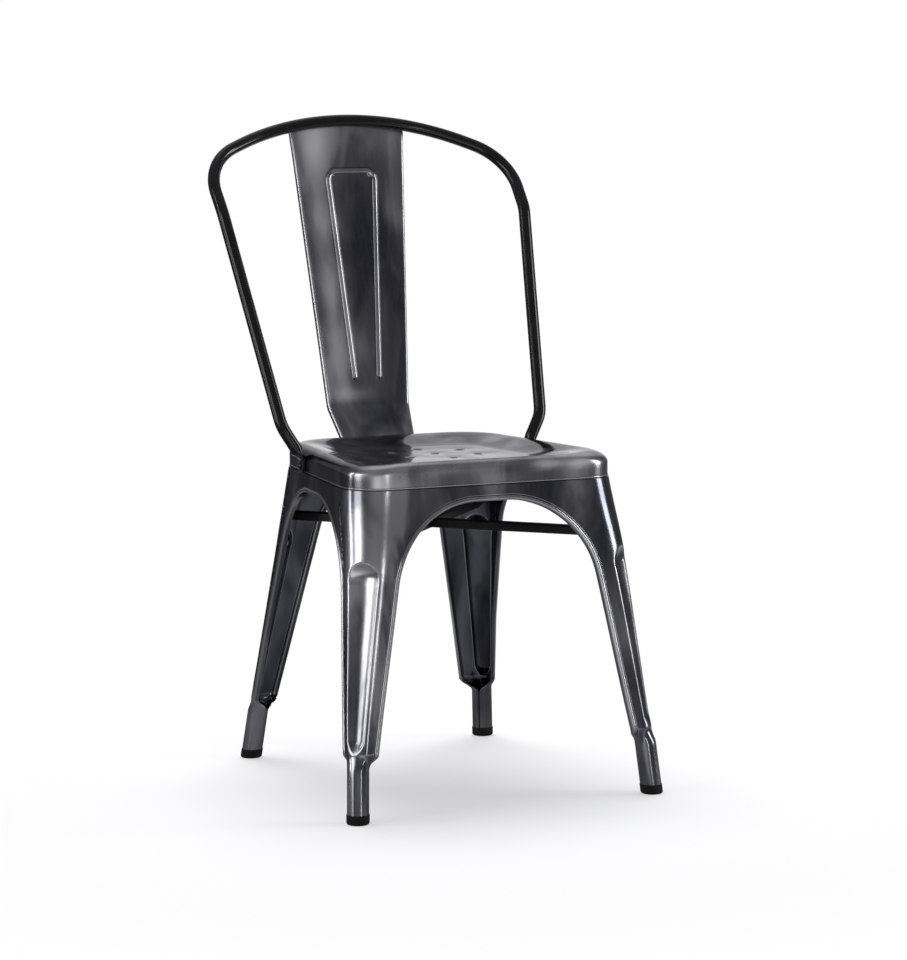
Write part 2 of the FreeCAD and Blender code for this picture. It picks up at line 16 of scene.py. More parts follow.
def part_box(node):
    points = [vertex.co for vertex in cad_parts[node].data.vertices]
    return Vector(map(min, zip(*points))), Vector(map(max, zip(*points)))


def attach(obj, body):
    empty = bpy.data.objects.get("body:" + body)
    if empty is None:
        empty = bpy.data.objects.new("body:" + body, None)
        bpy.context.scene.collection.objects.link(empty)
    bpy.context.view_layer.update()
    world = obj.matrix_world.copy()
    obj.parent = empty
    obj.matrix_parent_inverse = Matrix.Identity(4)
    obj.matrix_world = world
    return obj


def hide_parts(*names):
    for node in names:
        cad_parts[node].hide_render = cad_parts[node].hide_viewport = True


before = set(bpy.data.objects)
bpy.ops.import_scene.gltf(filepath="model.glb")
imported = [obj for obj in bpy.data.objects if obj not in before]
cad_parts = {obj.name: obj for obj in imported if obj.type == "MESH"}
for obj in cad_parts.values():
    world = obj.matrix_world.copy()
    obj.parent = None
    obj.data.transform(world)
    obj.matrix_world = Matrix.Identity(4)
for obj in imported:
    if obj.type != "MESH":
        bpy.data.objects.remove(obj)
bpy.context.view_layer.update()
seat_low, seat_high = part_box("seat_pan")
seat_middle_y = (seat_low.y + seat_high.y) / 2
print("nodes in the frame:", len(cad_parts), "seat middle in Y:", round(seat_middle_y, 5), "m")

# %% [markdown]
# ## Sizes
# The driving sizes of the chair. The legs and aprons are pressed from a tapering shape with four flat faces:
# its size is given at the floor and at the seam under the seat.

# %% Sizes
metre = 0.001
sheet = 1.2
seam, rim = 398.0, 430.0  # heights of the seat's lower edge and of its rim
seat_front_width, seat_rear_width, seat_depth = 378.0, 289.0, 333.0
foot_front_width, foot_rear_width = 434.0, 368.0
foot_front_reach, foot_rear_reach = 225.0, 233.0
seat_corner, foot_radius = 48.0, 13.6  # radii of the corners at the seam and of the round feet
cap_height = 12.0
neck_top, neck_bottom = 84.0, 64.0  # between these heights the folded leg closes to the round foot
arm_level = 278.0  # the height at which the upper width of an arch is given
side_joint = -6.0  # where a front and a rear leg meet, in Y
border = 7.6  # width of the fold along an arch
roll_radius, roll_rise, roll_start = 3.2, 1.4, 62.0  # the raised roll of the fold, its start in degrees
lip_depth = 6.5
slit_width = 1.5
bow_depth, bow_peak = 7.0, 0.3
arches = {
    "front": {"arm": (60.4, 37.1), "crown": seam - 19.0, "shoulder": 118.0},
    "rear": {"arm": (62.4, 40.7), "crown": seam - 23.0, "shoulder": 78.0},
    "front_side": {"arm": (42.1, 20.6), "crown": seam - 23.0, "shoulder": 135.0},
    "rear_side": {"arm": (48.6, 21.0), "crown": seam - 23.0, "shoulder": 100.0},
}
flute_top = 313.0
flute_ramps = (14.0, 27.0)  # lengths over which it fades out, below and above
flute_share, flute_shift = 0.72, 0.045
flute_dish = (2.8, 4.5)
flute_softness = 0.35
mirrored = np.array([-1.0, 1.0, 1.0])

# %% [markdown]
# ## Helpers
# A piece is made from grids of points. Each grid becomes a sheet of quads, and grids that share a border are
# welded. While a piece is made, values from 0 to 1 are stored at its vertices for the metal. Edge tells how
# sharply the surface turns outwards, where the metal is painted brighter, partly as wear and partly as a painted
# highlight. A second value tells how sharply it turns inwards, where the metal is painted darker as shade. A third
# value tells where the metal is painted lighter, partly as rubbed wear and partly as a painted sheen.

# %% Helpers for numbers
def between(low, high, share):
    return low + (high - low) * share


def unit(vectors):
    vectors = np.asarray(vectors, float)
    return vectors / np.maximum(np.linalg.norm(vectors, axis=-1, keepdims=True), 1e-12)


def smooth_step(share):
    share = np.clip(share, 0.0, 1.0)
    return share * share * (3 - 2 * share)


def soft_positive(value, softness):
    """The value where it is above nought, nought below, with a rounded turn between."""
    return (value + np.sqrt(value * value + 4 * softness * softness)) / 2


def spaced(stops, steps):
    """Values through the stops, with a step length of its own in each span."""
    values = [stops[0]]
    for low, high, step in zip(stops, stops[1:], steps):
        count = max(1, round(abs(high - low) / step))
        values += list(np.linspace(low, high, count + 1)[1:])
    return np.array(values)

def corner_arc(before, here, after, radius, steps=None, arc_step=3.0):
    """Points of the arc that touches both runs at a corner."""
    back, ahead = unit(before - here), unit(after - here)
    half = math.acos(np.clip(back @ ahead, -1, 1)) / 2
    centre = here + unit(back + ahead) * (radius / math.sin(half))
    first = unit(here + back * (radius / math.tan(half)) - centre)
    turn = math.pi - 2 * half
    steps = steps or max(4, math.ceil(radius * turn / arc_step))
    return [centre + radius * (first * math.cos(angle) - back * math.sin(angle))
            for angle in (turn * step / steps for step in range(steps + 1))]


def rounded_path(points, radii, arc_step=3.0, straight_step=1e9):
    """Points along straight runs with a tangent arc at every inner point."""
    points = np.asarray(points, float)
    path = [points[0]]
    for index in range(1, len(points) - 1):
        path += corner_arc(*points[index - 1:index + 2], radii[index], arc_step=arc_step)
    path.append(points[-1])
    dense = [path[0]]
    for point in path[1:]:
        run = np.linalg.norm(point - dense[-1])
        if run < 1e-6:
            continue
        count = max(1, math.ceil(run / straight_step))
        origin = dense[-1]
        dense += [origin + (point - origin) * (step + 1) / count for step in range(count)]
    return np.array(dense)


def spread_along(path, shares):
    """Points at these shares of a path's length."""
    lengths = np.concatenate([[0], np.cumsum(np.linalg.norm(np.diff(path, axis=0), axis=1))])
    wanted = np.asarray(shares) * lengths[-1]
    return np.stack([np.interp(wanted, lengths, path[:, axis]) for axis in range(path.shape[1])], axis=1)


def full_turn(steps):
    return 2 * np.pi * np.arange(steps) / steps


def level_ring(centre, radius, angles):
    """Points of a level circle at these angles."""
    x, y, z = centre
    return np.stack([x + radius * np.cos(angles), y + radius * np.sin(angles), np.full(len(angles), z)], axis=1)


# %% Helpers for meshes
seat_middle = np.array([0.0, seat_middle_y, 0.0])
weld_distance = 0.002
sharp_radius = 2.5  # a turn of this radius or less counts as a full edge or hollow
sheet_crease, bevel_angle = math.radians(50), math.radians(35)


def grid_faces(rows, columns, start=0, closed=False, flip=False):
    faces = []
    for row in range(rows - 1):
        for column in range(columns if closed else columns - 1):
            right = (column + 1) % columns
            low, high = start + row * columns, start + (row + 1) * columns
            quad = (low + column, low + right, high + right, high + column)
            faces.append(quad[::-1] if flip else quad)
    return faces


def in_frame(points):
    """Millimetres from the seat's middle, in the frame's metres."""
    return np.asarray(points, float).reshape(-1, 3) * metre + seat_middle


def from_frame(places):
    """The frame's metres, in millimetres from the seat's middle."""
    return (places - seat_middle) / metre


def read_values(items, field, width, kind=float):
    values = np.empty(len(items) * width, kind)
    items.foreach_get(field, values)
    return values.reshape(-1, width)


def store_values(mesh, name, values):
    attribute = mesh.attributes.new(name, "FLOAT", "POINT")
    attribute.data.foreach_set("value", np.clip(values, 0, 1).astype(np.float32))


def mark_edges(mesh):
    """Stores how sharply the surface turns outwards (edge) and inwards at each vertex, from 0 to 1.
    The metal is painted lighter on edges, as wear and painted highlight, and darker in creases, as painted shade.
    """
    places, normals = read_values(mesh.vertices, "co", 3), read_values(mesh.vertex_normals, "vector", 3)
    ends = read_values(mesh.edges, "vertices", 2, np.int64)
    run = places[ends[:, 1]] - places[ends[:, 0]]
    length = np.maximum(np.linalg.norm(run, axis=1), 1e-6)
    outwards, inwards = np.zeros(len(places)), np.zeros(len(places))
    for side, sign in ((0, -1), (1, 1)):
        bend = sign * np.einsum("ij,ij->i", normals[ends[:, side]], run) / length ** 2
        np.maximum.at(outwards, ends[:, side], bend)
        np.maximum.at(inwards, ends[:, side], -bend)
    for name, bends in (("edge", outwards), ("hollow", inwards)):
        store_values(mesh, name, smooth_step(bends * sharp_radius * metre * 2))


def make_piece(name, points, faces, material, nodes, thickness=0.0, mirror=False, bevel=0.0, wear_and_sheen_at=None):
    """One smooth mesh object that stands for the named nodes of the frame."""
    places = in_frame(points)
    if mirror:
        places = places * mirrored
        faces = [face[::-1] for face in faces]
    mesh = bpy.data.meshes.new(name)
    mesh.from_pydata(places.tolist(), [], faces)
    work = bmesh.new()
    work.from_mesh(mesh)
    bmesh.ops.remove_doubles(work, verts=work.verts, dist=weld_distance * metre)
    work.to_mesh(mesh)
    work.free()
    mesh.shade_smooth()
    mark_edges(mesh)
    # Lighter spots for the metal: partly rubbed wear, partly a painted sheen and highlights
    if wear_and_sheen_at:
        store_values(mesh, "rubbed", wear_and_sheen_at(from_frame(read_values(mesh.vertices, "co", 3))))
    mesh.materials.append(material)
    if thickness:
        mesh.materials.append(shaded_steel_inside)
    piece = bpy.data.objects.new(name, mesh)
    bpy.context.scene.collection.objects.link(piece)
    if thickness:
        solid = piece.modifiers.new("sheet thickness", "SOLIDIFY")
        solid.thickness = thickness * metre
        solid.offset = -1.0
        solid.use_even_offset = False
        solid.use_rim = True
        solid.material_offset = 1
        bpy.context.view_layer.update()
        seen = piece.evaluated_get(bpy.context.evaluated_depsgraph_get())
        piece.modifiers.clear()
        mesh = bpy.data.meshes.new_from_object(seen)
        piece.data = mesh
        mesh.name = name
        mesh.set_sharp_from_angle(angle=sheet_crease)
    if bevel:
        rounding = piece.modifiers.new("soft edges", "BEVEL")
        rounding.width = bevel * metre
        rounding.segments = 2
        rounding.limit_method = "ANGLE"
        rounding.angle_limit = bevel_angle
        rounding.harden_normals = True
    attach(piece, "root")
    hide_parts(*nodes)
    print(name, "vertices", len(mesh.vertices), "faces", len(mesh.polygons))


# %% [markdown]
# ## Shared surface effects
# Each effect that several materials use is a node group. It gives out values only, and every material feeds
# it with its own numbers.

# %% Node helpers
def feed(tree, node, inputs):
    """Gives inputs their values, by label or number: a plain value, or the output of another node."""
    for label, value in dict(inputs).items():
        if isinstance(value, bpy.types.NodeSocket):
            tree.links.new(value, node.inputs[label])
        else:
            node.inputs[label].default_value = value


def add_node(tree, kind, inputs=(), **settings):
    node = tree.nodes.new(kind)
    for name, value in settings.items():
        setattr(node, name, value)
    feed(tree, node, inputs)
    return node


def new_group(name, inputs, outputs):
    group = bpy.data.node_groups.new(name, "ShaderNodeTree")
    for label, kind, value in inputs:
        socket = group.interface.new_socket(name=label, in_out="INPUT", socket_type=kind)
        if value is not None:
            socket.default_value = value
    for label in outputs:
        group.interface.new_socket(name=label, in_out="OUTPUT", socket_type="NodeSocketFloat")
    return group, add_node(group, "NodeGroupInput").outputs, add_node(group, "NodeGroupOutput")


def maths(tree, operation, *values):
    return add_node(tree, "ShaderNodeMath", enumerate(values), operation=operation).outputs[0]


def span(tree, value, low, high, to_low, to_high):
    """Turns a value from one span into another, easing at both ends."""
    inputs = {"Value": value, "From Min": low, "From Max": high, "To Min": to_low, "To Max": to_high}
    return add_node(tree, "ShaderNodeMapRange", inputs, interpolation_type="SMOOTHSTEP").outputs["Result"]


def noise(tree, vector, scale, detail, roughness, distortion=0.0):
    inputs = {"Vector": vector, "Scale": scale, "Detail": detail, "Roughness": roughness, "Distortion": distortion}
    return add_node(tree, "ShaderNodeTexNoise", inputs).outputs["Fac"]


# %% Brush marks: fine lines that run up the piece
fine_share, wide_share, wide_scale = 0.6, 0.4, 0.22
marks, marks_in, marks_out = new_group(
    "brush_marks",
    [("Vector", "NodeSocketVector", None), ("Across", "NodeSocketFloat", 900.0), ("Stretch", "NodeSocketFloat", 0.03)],
    ["Lines"])
squeeze = add_node(marks, "ShaderNodeCombineXYZ", {0: 1.0, 1: 1.0, 2: marks_in["Stretch"]})
stretched = add_node(marks, "ShaderNodeVectorMath", {0: marks_in["Vector"], 1: squeeze.outputs[0]},
                     operation="MULTIPLY").outputs[0]
fine_lines = noise(marks, stretched, marks_in["Across"], 3.0, 0.6)
wide_lines = noise(marks, stretched, maths(marks, "MULTIPLY", marks_in["Across"], wide_scale), 2.0, 0.5)
feed(marks, marks_out, {"Lines": maths(marks, "ADD", maths(marks, "MULTIPLY", fine_lines, fine_share),
                                       maths(marks, "MULTIPLY", wide_lines, wide_share))})

# %% Clouds: soft uneven patches, and small specks
clouds, clouds_in, clouds_out = new_group(
    "uneven_clouds",
    [("Vector", "NodeSocketVector", None), ("Scale", "NodeSocketFloat", 9.0), ("Specks", "NodeSocketFloat", 400.0)],
    ["Clouds", "Specks"])
broad = noise(clouds, clouds_in["Vector"], clouds_in["Scale"], 3.0, 0.5, 0.5)
small = noise(clouds, clouds_in["Vector"], clouds_in["Specks"], 2.0, 0.5)
feed(clouds, clouds_out, {"Clouds": span(clouds, broad, 0.31, 0.69, 0.0, 1.0),
                          "Specks": span(clouds, small, 0.56, 0.72, 0.0, 1.0)})


# %% [markdown]
# ## Materials
# Gunmetal is bare steel that is darkened unevenly, brushed and clear coated. On top, edges and rubbed spots are
# painted lighter, partly as wear and partly as painted highlight and sheen, and creases are painted darker as
# shade. The inner side of the sheet gets a darker copy of the steel as painted shade. The tube of the hoop is gloss
# black, the braces are satin black, and the caps are rubber.

# %% Material helpers
def new_material(name):
    material = bpy.data.materials.new(name)
    material.use_nodes = True
    tree = material.node_tree
    tree.nodes.clear()
    surface = add_node(tree, "ShaderNodeBsdfPrincipled")
    add_node(tree, "ShaderNodeOutputMaterial", {"Surface": surface.outputs["BSDF"]})
    return material, tree, surface, add_node(tree, "ShaderNodeTexCoord").outputs["Object"]


def place_group(tree, group, vector, **values):
    return add_node(tree, "ShaderNodeGroup", {"Vector": vector, **values}, node_tree=group).outputs


def mesh_value(tree, name):
    return add_node(tree, "ShaderNodeAttribute", attribute_name=name).outputs["Fac"]


def colour_steps(tree, value, steps):
    node = add_node(tree, "ShaderNodeValToRGB")
    tree.links.new(value, node.inputs["Fac"])
    elements = node.color_ramp.elements
    while len(elements) < len(steps):
        elements.new(0.5)
    for element, (place, colour) in zip(elements, steps):
        element.position = place
        element.color = (*colour, 1.0)
    return node.outputs["Color"]


def blend_colour(tree, share, first, second):
    node = add_node(tree, "ShaderNodeMix", {"Factor": share}, data_type="RGBA")
    for socket, value in zip([socket for socket in node.inputs if socket.type == "RGBA"], (first, second)):
        if isinstance(value, tuple):
            socket.default_value = (*value, 1.0)
        else:
            tree.links.new(value, socket)
    return [socket for socket in node.outputs if socket.type == "RGBA"][0]


def bump(tree, height, distance, strength):
    inputs = {"Height": height, "Distance": distance, "Strength": strength}
    return add_node(tree, "ShaderNodeBump", inputs).outputs["Normal"]


# %% Gunmetal
cloud_stretch = (1.0, 1.0, 0.3)
middle_place, middle_share = 0.55, 0.36
# Creases are darkened as painted shade, and edges are painted lighter as wear and painted highlight
line_share, worn_and_highlight_share, crease_shade_share = 0.12, 0.6, 0.75
worn_and_highlight_steel, crease_shade_steel, coat_tint = (0.75, 0.76, 0.78), (0.02, 0.02, 0.028), (0.6, 0.6, 0.62, 1.0)
dark_roughness, light_roughness = 0.14, 0.23
line_roughness, worn_roughness, wear_and_sheen_roughness = 0.02, 0.06, 0.22


def gunmetal(name, dark, light, rubbed, cloud_scale):
    material, tree, surface, place = new_material(name)
    tall = add_node(tree, "ShaderNodeMapping", {"Vector": place, "Scale": cloud_stretch}).outputs["Vector"]
    patches = place_group(tree, clouds, tall, Scale=cloud_scale, Specks=520.0)["Clouds"]
    lines = place_group(tree, marks, place, Across=1100.0, Stretch=0.006)["Lines"]
    edge, wear_and_sheen_mask, hollow = (mesh_value(tree, value) for value in ("edge", "rubbed", "hollow"))
    middle = tuple(between(low, high, middle_share) for low, high in zip(dark, light))
    colour = colour_steps(tree, patches, [(0.0, dark), (middle_place, middle), (1.0, light)])
    # Painted over the clouds: brush lines, lighter spots that are partly rubbed wear and partly painted sheen, edges
    # lighter as wear and painted highlight, and creases darker as painted shade
    for share, tone in ((maths(tree, "MULTIPLY", span(tree, lines, 0.35, 0.7, 0.0, 1.0), line_share), light),
                        (wear_and_sheen_mask, rubbed), (maths(tree, "MULTIPLY", edge, worn_and_highlight_share), worn_and_highlight_steel),
                        (maths(tree, "MULTIPLY", hollow, crease_shade_share), crease_shade_steel)):
        colour = blend_colour(tree, share, colour, tone)
    rough = span(tree, patches, 0.0, 1.0, dark_roughness, light_roughness)
    for value, more in ((span(tree, lines, 0.3, 0.7, 0.0, 1.0), line_roughness), (edge, worn_roughness),
                        (wear_and_sheen_mask, wear_and_sheen_roughness)):
        rough = maths(tree, "ADD", rough, maths(tree, "MULTIPLY", value, more))
    feed(tree, surface, {"Base Color": colour, "Metallic": 1.0, "Roughness": rough,
                         "Normal": bump(tree, lines, 0.000003, 0.5), "Specular Tint": coat_tint,
                         "Coat Weight": 0.6, "Coat Roughness": 0.04, "Coat IOR": 1.4})
    return material


steel = gunmetal("gunmetal_steel", (0.085, 0.09, 0.12), (0.62, 0.625, 0.65), (0.85, 0.85, 0.87), 17.0)
# The inner side of the sheet: a darker copy of the steel, painted shade
shaded_steel_inside = gunmetal("gunmetal_inside", (0.02, 0.022, 0.034), (0.26, 0.27, 0.32), (0.3, 0.3, 0.32), 16.0)


# %% Gloss black tube, satin black braces and rubber
black, lighter_black, worn_black = (0.004, 0.004, 0.0045), (0.0078, 0.0078, 0.00865), (0.12, 0.12, 0.125)
black_span = 0.08


def black_paint(name, roughness, coat, peel):
    material, tree, surface, place = new_material(name)
    patches = place_group(tree, clouds, place, Scale=26.0, Specks=900.0)["Clouds"]
    colour = blend_colour(tree, maths(tree, "MULTIPLY", patches, 0.5), black, lighter_black)
    colour = blend_colour(tree, maths(tree, "MULTIPLY", mesh_value(tree, "edge"), 0.05), colour, worn_black)
    feed(tree, surface, {"Base Color": colour, "Specular IOR Level": 0.35, "Coat Weight": coat, "Coat Roughness": 0.08,
                         "Roughness": span(tree, patches, 0.0, 1.0, roughness, roughness + black_span),
                         "Normal": bump(tree, noise(tree, place, 90.0, 1.0, 0.4), peel, 0.25)})
    return material


tube_paint = black_paint("black_tube", 0.16, 0.3, 0.00002)
brace_paint = black_paint("black_brace", 0.36, 0.1, 0.00006)

rubber, rubber_tree, rubber_surface, rubber_place = new_material("rubber_cap")
rubber_patches = place_group(rubber_tree, clouds, rubber_place, Scale=60.0, Specks=1500.0)
rubber_colour = blend_colour(rubber_tree, rubber_patches["Clouds"], (0.005, 0.005, 0.005), (0.012, 0.012, 0.012))
dust_share = maths(rubber_tree, "MULTIPLY", rubber_patches["Specks"], 0.2)
feed(rubber_tree, rubber_surface, {
    "Base Color": blend_colour(rubber_tree, dust_share, rubber_colour, (0.03, 0.029, 0.028)),
    "Specular IOR Level": 0.2, "Roughness": span(rubber_tree, rubber_patches["Clouds"], 0.0, 1.0, 0.62, 0.78),
    "Normal": bump(rubber_tree, noise(rubber_tree, rubber_place, 1800.0, 3.0, 0.6), 0.00012, 0.7)})

# %% [markdown]
# ## The tapering shape behind the legs
# Four flat faces lean inwards from the feet to the seam, and the front one bows forward a little under the
# apron. These functions give the faces, and the round corner between a front or rear face and a side face, at
# any height. They take single heights or whole arrays.

# %% Faces and corners
def front_bow(height):
    """How far the front face stands forward of a straight line, most of it just under the apron."""
    share = np.clip((seam - height) / (seam - neck_top), 0, 1)
    return bow_depth * smooth_step(share / bow_peak) * (1 - smooth_step((share - bow_peak) / (1 - bow_peak)))


def front_face(height):
    return -between(foot_front_reach, seat_depth / 2, height / seam) - front_bow(height)


def rear_face(height):
    return between(foot_rear_reach, seat_depth / 2, height / seam)


def front_half_width(height):
    return between(foot_front_width, seat_front_width, height / seam) / 2


def rear_half_width(height):
    return between(foot_rear_width, seat_rear_width, height / seam) / 2


def side_slope(height):
    return (front_half_width(height) - rear_half_width(height)) / (rear_face(height) - front_face(height))


def side_at(y, height):
    return front_half_width(height) - side_slope(height) * (y - front_face(height))


class Corner:
    """The left front or left rear corner, taken at an array of heights."""

    def __init__(self, is_front, height, radius=None):
        self.is_front = is_front
        self.height = np.asarray(height, float)
        self.lean = np.arctan(side_slope(self.height))
        self.face = front_face(self.height) if is_front else rear_face(self.height)
        self.half = front_half_width(self.height) if is_front else rear_half_width(self.height)
        self.radius = between(foot_radius, seat_corner, self.height / seam) if radius is None else radius
        turn = (math.pi / 2 if is_front else -math.pi / 2) - self.lean
        self.tangent = self.radius / np.tan(np.abs(turn) / 2)
        reach = self.radius / np.sin(np.abs(turn) / 2)
        self.inward = np.stack([np.cos(turn / 2), np.sin(turn / 2)], axis=-1)
        self.centre_x = -self.half + self.inward[..., 0] * reach
        self.centre_y = self.face + self.inward[..., 1] * reach
        self.first_angle = np.radians(270.0 if is_front else 90.0)
        self.last_angle = np.pi - self.lean

    def reach(self, on_side):
        """How far a flat face runs from the middle of the chair, or on the side from the joint of the legs."""
        if not on_side:
            return self.half - self.tangent
        touch = self.face + (1 if self.is_front else -1) * self.tangent * np.cos(self.lean)
        return np.abs(touch - side_joint)

    def on_flat(self, distance, on_side):
        if not on_side:
            return np.stack([-distance, self.face + 0 * distance, self.height + 0 * distance], axis=-1)
        y = side_joint - distance if self.is_front else side_joint + distance
        return np.stack([-side_at(y, self.height), y, self.height + 0 * y], axis=-1)

    def on_arc(self, share, sunk=0.0):
        angle = self.first_angle + (self.last_angle - self.first_angle) * share
        reach = self.radius - sunk
        return np.stack([self.centre_x + reach * np.cos(angle), self.centre_y + reach * np.sin(angle),
                         self.height + 0 * angle], axis=-1)


def foot_centre(is_front, height):
    """The middle of the round foot at a height, on its leaning axis."""
    low, high = (Corner(is_front, np.array(level), foot_radius) for level in (0.0, neck_top))
    share = height / neck_top
    return np.array([between(float(low.centre_x), float(high.centre_x), share),
                     between(float(low.centre_y), float(high.centre_y), share), height])


# %% [markdown]
# ## Legs
# One leg is a pressed sheet. Its columns run from the lower border, which is the edge of an arch or the neck,
# up to the seam. The middle columns go round the corner, where the flute is sunk in. A narrow fold and a lip
# follow the arch, and under the arch the folded section closes to the round foot.

# %% Arch borders
def arch_border(kind, is_front, grow, count):
    """Distance from the joint and height along half an arch, from the crown down to the neck."""
    arch = arches[kind]
    arm_top, arm_neck = arch["arm"]
    if "side" in kind:
        def edge_distance(arm, level):
            face = front_face(level) + front_bow(level) if is_front else rear_face(level)
            inner = face + arm if is_front else face - arm
            return abs(inner - side_joint)
    else:
        def edge_distance(arm, level):
            return (front_half_width(level) if is_front else rear_half_width(level)) - arm
    top, neck = edge_distance(arm_top, arm_level), edge_distance(arm_neck, neck_top)

    def edge_at(level):
        return between(neck, top, (level - neck_top) / (arm_level - neck_top)) + grow
    crown = arch["crown"] + grow
    corners = [(0.0, crown), (edge_at(crown), crown), (edge_at(neck_top), neck_top)]
    path = rounded_path(corners, [0, arch["shoulder"] + grow, 0], arc_step=1.0)
    return spread_along(path, np.linspace(0, 1, count))


# %% The flute
clear_of_flute = 8.0  # where there is no flute, the surface counts as this far clear of one


def flute_depth(corner, share):
    """How deep the flute lies under the corner's surface, by height and share of the arc."""
    height, radius = corner.height, corner.radius
    low, high = neck_top, flute_top
    full_low, full_high = low + flute_ramps[0], high - flute_ramps[1]
    tools, offsets = [], []
    stations = np.array([low, full_low, full_high, high])
    for station in stations:
        size = between(foot_radius, seat_corner, station / seam)
        dish = between(flute_dish[0], flute_dish[1], (station - low) / (high - low))
        chord = flute_share * size / math.sqrt(2)
        tool = (chord ** 2 + dish ** 2) / (2 * dish)
        tools.append(tool)
        offsets.append(size + tool if station in (low, high) else math.sqrt(size ** 2 - chord ** 2) - dish + tool)
    tool = np.interp(height, stations, tools)
    offset = np.interp(height, stations, offsets)
    down = np.clip((high - height) / (high - full_high), 0, 1)
    offset = np.where(height > full_high, between(offsets[3], offsets[2], 2 * down - down ** 2), offset)
    centre_share = 0.5 - flute_shift * np.clip((height - low) / (high - low), 0, 1)
    angle = (corner.last_angle - corner.first_angle) * (share - centre_share)
    inside = tool ** 2 - (offset * np.sin(angle)) ** 2
    wall = offset * np.cos(angle) - np.sqrt(np.maximum(inside, 0))
    in_flute = (inside > 0) & (height >= low) & (height <= high)
    sunk = np.where(in_flute, radius - wall, -clear_of_flute)
    return soft_positive(sunk, flute_softness) - flute_softness ** 2 / clear_of_flute


# %% Rolled edge and lip along an arch
groove = [(0.0, 0.0), (0.45, 0.2), (0.95, 0.42)]
roll_rows, lip_rows = 15, 4


def lip_strip(border_points, inward, opening_point):
    """Rows from the border of the flat face over the raised roll and down the lip."""
    along = unit(np.gradient(border_points, axis=0))
    towards = unit(np.cross(along, inward))
    flip = np.sign(np.einsum("ij,ij->i", towards, opening_point - border_points))
    towards = towards * flip[:, None]
    section = list(groove)
    for angle in np.linspace(-math.radians(roll_start), math.pi / 2, roll_rows):
        section.append((border - roll_radius * (1 - math.sin(angle)), roll_radius * (1 - math.cos(angle)) - roll_rise))
    section += [(border, depth) for depth in np.linspace(roll_radius - roll_rise, lip_depth, lip_rows)[1:]]
    return np.array([border_points + towards * reach + inward * depth for reach, depth in section])


# %% One left leg
def leg_grids(is_front):
    """The grids of one leg: the skin over both faces and the corner, the two lips, and the neck."""
    rows, arc_columns, border_columns, flat_columns = 150, 48, 64, 8
    border_limit = 0.999  # the border of an arch stays just short of the corner
    name = "front" if is_front else "rear"
    climb = np.linspace(0, 1, rows)[:, None]

    def flat(kind, on_side):
        outline = arch_border(kind, is_front, border, border_columns)
        share = np.minimum(outline[:, 0] / Corner(is_front, outline[:, 1]).reach(on_side), border_limit)
        share = np.append(share, np.linspace(share[-1], 1, flat_columns + 1)[1:])
        low = np.append(outline[:, 1], np.full(flat_columns, neck_top))
        corner = Corner(is_front, low + (seam - low) * climb)
        points = corner.on_flat(corner.reach(on_side) * share, on_side)
        first, second = points[0, :border_columns], points[1, :border_columns]
        inward = unit(np.cross(unit(np.gradient(first, axis=0)), unit(second - first)))
        towards_middle = np.array([1.0, 0.0, 0.0] if on_side else [0.0, 1.0 if is_front else -1.0, 0.0])
        inward = inward * np.sign(inward @ towards_middle)[:, None]
        inward = unit(np.mean(inward[2:-2], axis=0))
        middle = np.array([first[0, 0], side_joint, neck_top] if on_side else [0.0, first[0, 1], neck_top])
        return points, lip_strip(first, inward, middle)

    face, face_lip = flat(name, False)
    side, side_lip = flat(name + "_side", True)
    share = np.linspace(0, 1, arc_columns + 1)
    corner = Corner(is_front, neck_top + (seam - neck_top) * climb + 0 * share)
    arc = corner.on_arc(share, flute_depth(corner, share))
    skin = np.concatenate([face[:, :-1], arc[:, :-1], side[:, ::-1]], axis=1)

    # The neck starts on the folded section at its top, and turns into a ring with a narrow slit
    low_row = np.concatenate([face_lip[::-1, -1], face[0, border_columns:-1], arc[0, :-1],
                              side[0, border_columns - 1:][::-1], side_lip[1:, -1]])
    lengths = np.concatenate([[0], np.cumsum(np.linalg.norm(np.diff(low_row, axis=0), axis=1))])
    along = lengths / lengths[-1]
    arc_middle = len(face_lip) + (flat_columns - 1) + arc_columns // 2
    turn = np.interp(along, [0, along[arc_middle], 1], [0, 0.5, 1])
    gap = slit_width / 2 / foot_radius
    inward = Corner(is_front, np.array(0.0), foot_radius).inward
    direction = -1 if is_front else 1
    angle = math.atan2(inward[1], inward[0]) + direction * (gap + turn * (2 * math.pi - 2 * gap))
    neck_rows = []
    for height in spaced([neck_top, neck_bottom, cap_height], [1.25, 6.5]):
        ring = level_ring(foot_centre(is_front, height), foot_radius, angle)
        closing = smooth_step((neck_top - height) / (neck_top - neck_bottom))
        folded = low_row + np.array([0, 0, height - neck_top])
        neck_rows.append(folded + (ring - folded) * closing)
    return [("skin", skin), ("face_lip", face_lip), ("side_lip", side_lip), ("neck", np.array(neck_rows))]


def turned_right(grid, row, seen_from):
    """Whether the middle quad of a row faces the point it is seen from."""
    column = grid.shape[1] // 2
    first, second, third = grid[row, column], grid[row, column + 1], grid[row + 1, column + 1]
    return np.cross(second - first, third - first) @ (seen_from - first) > 0


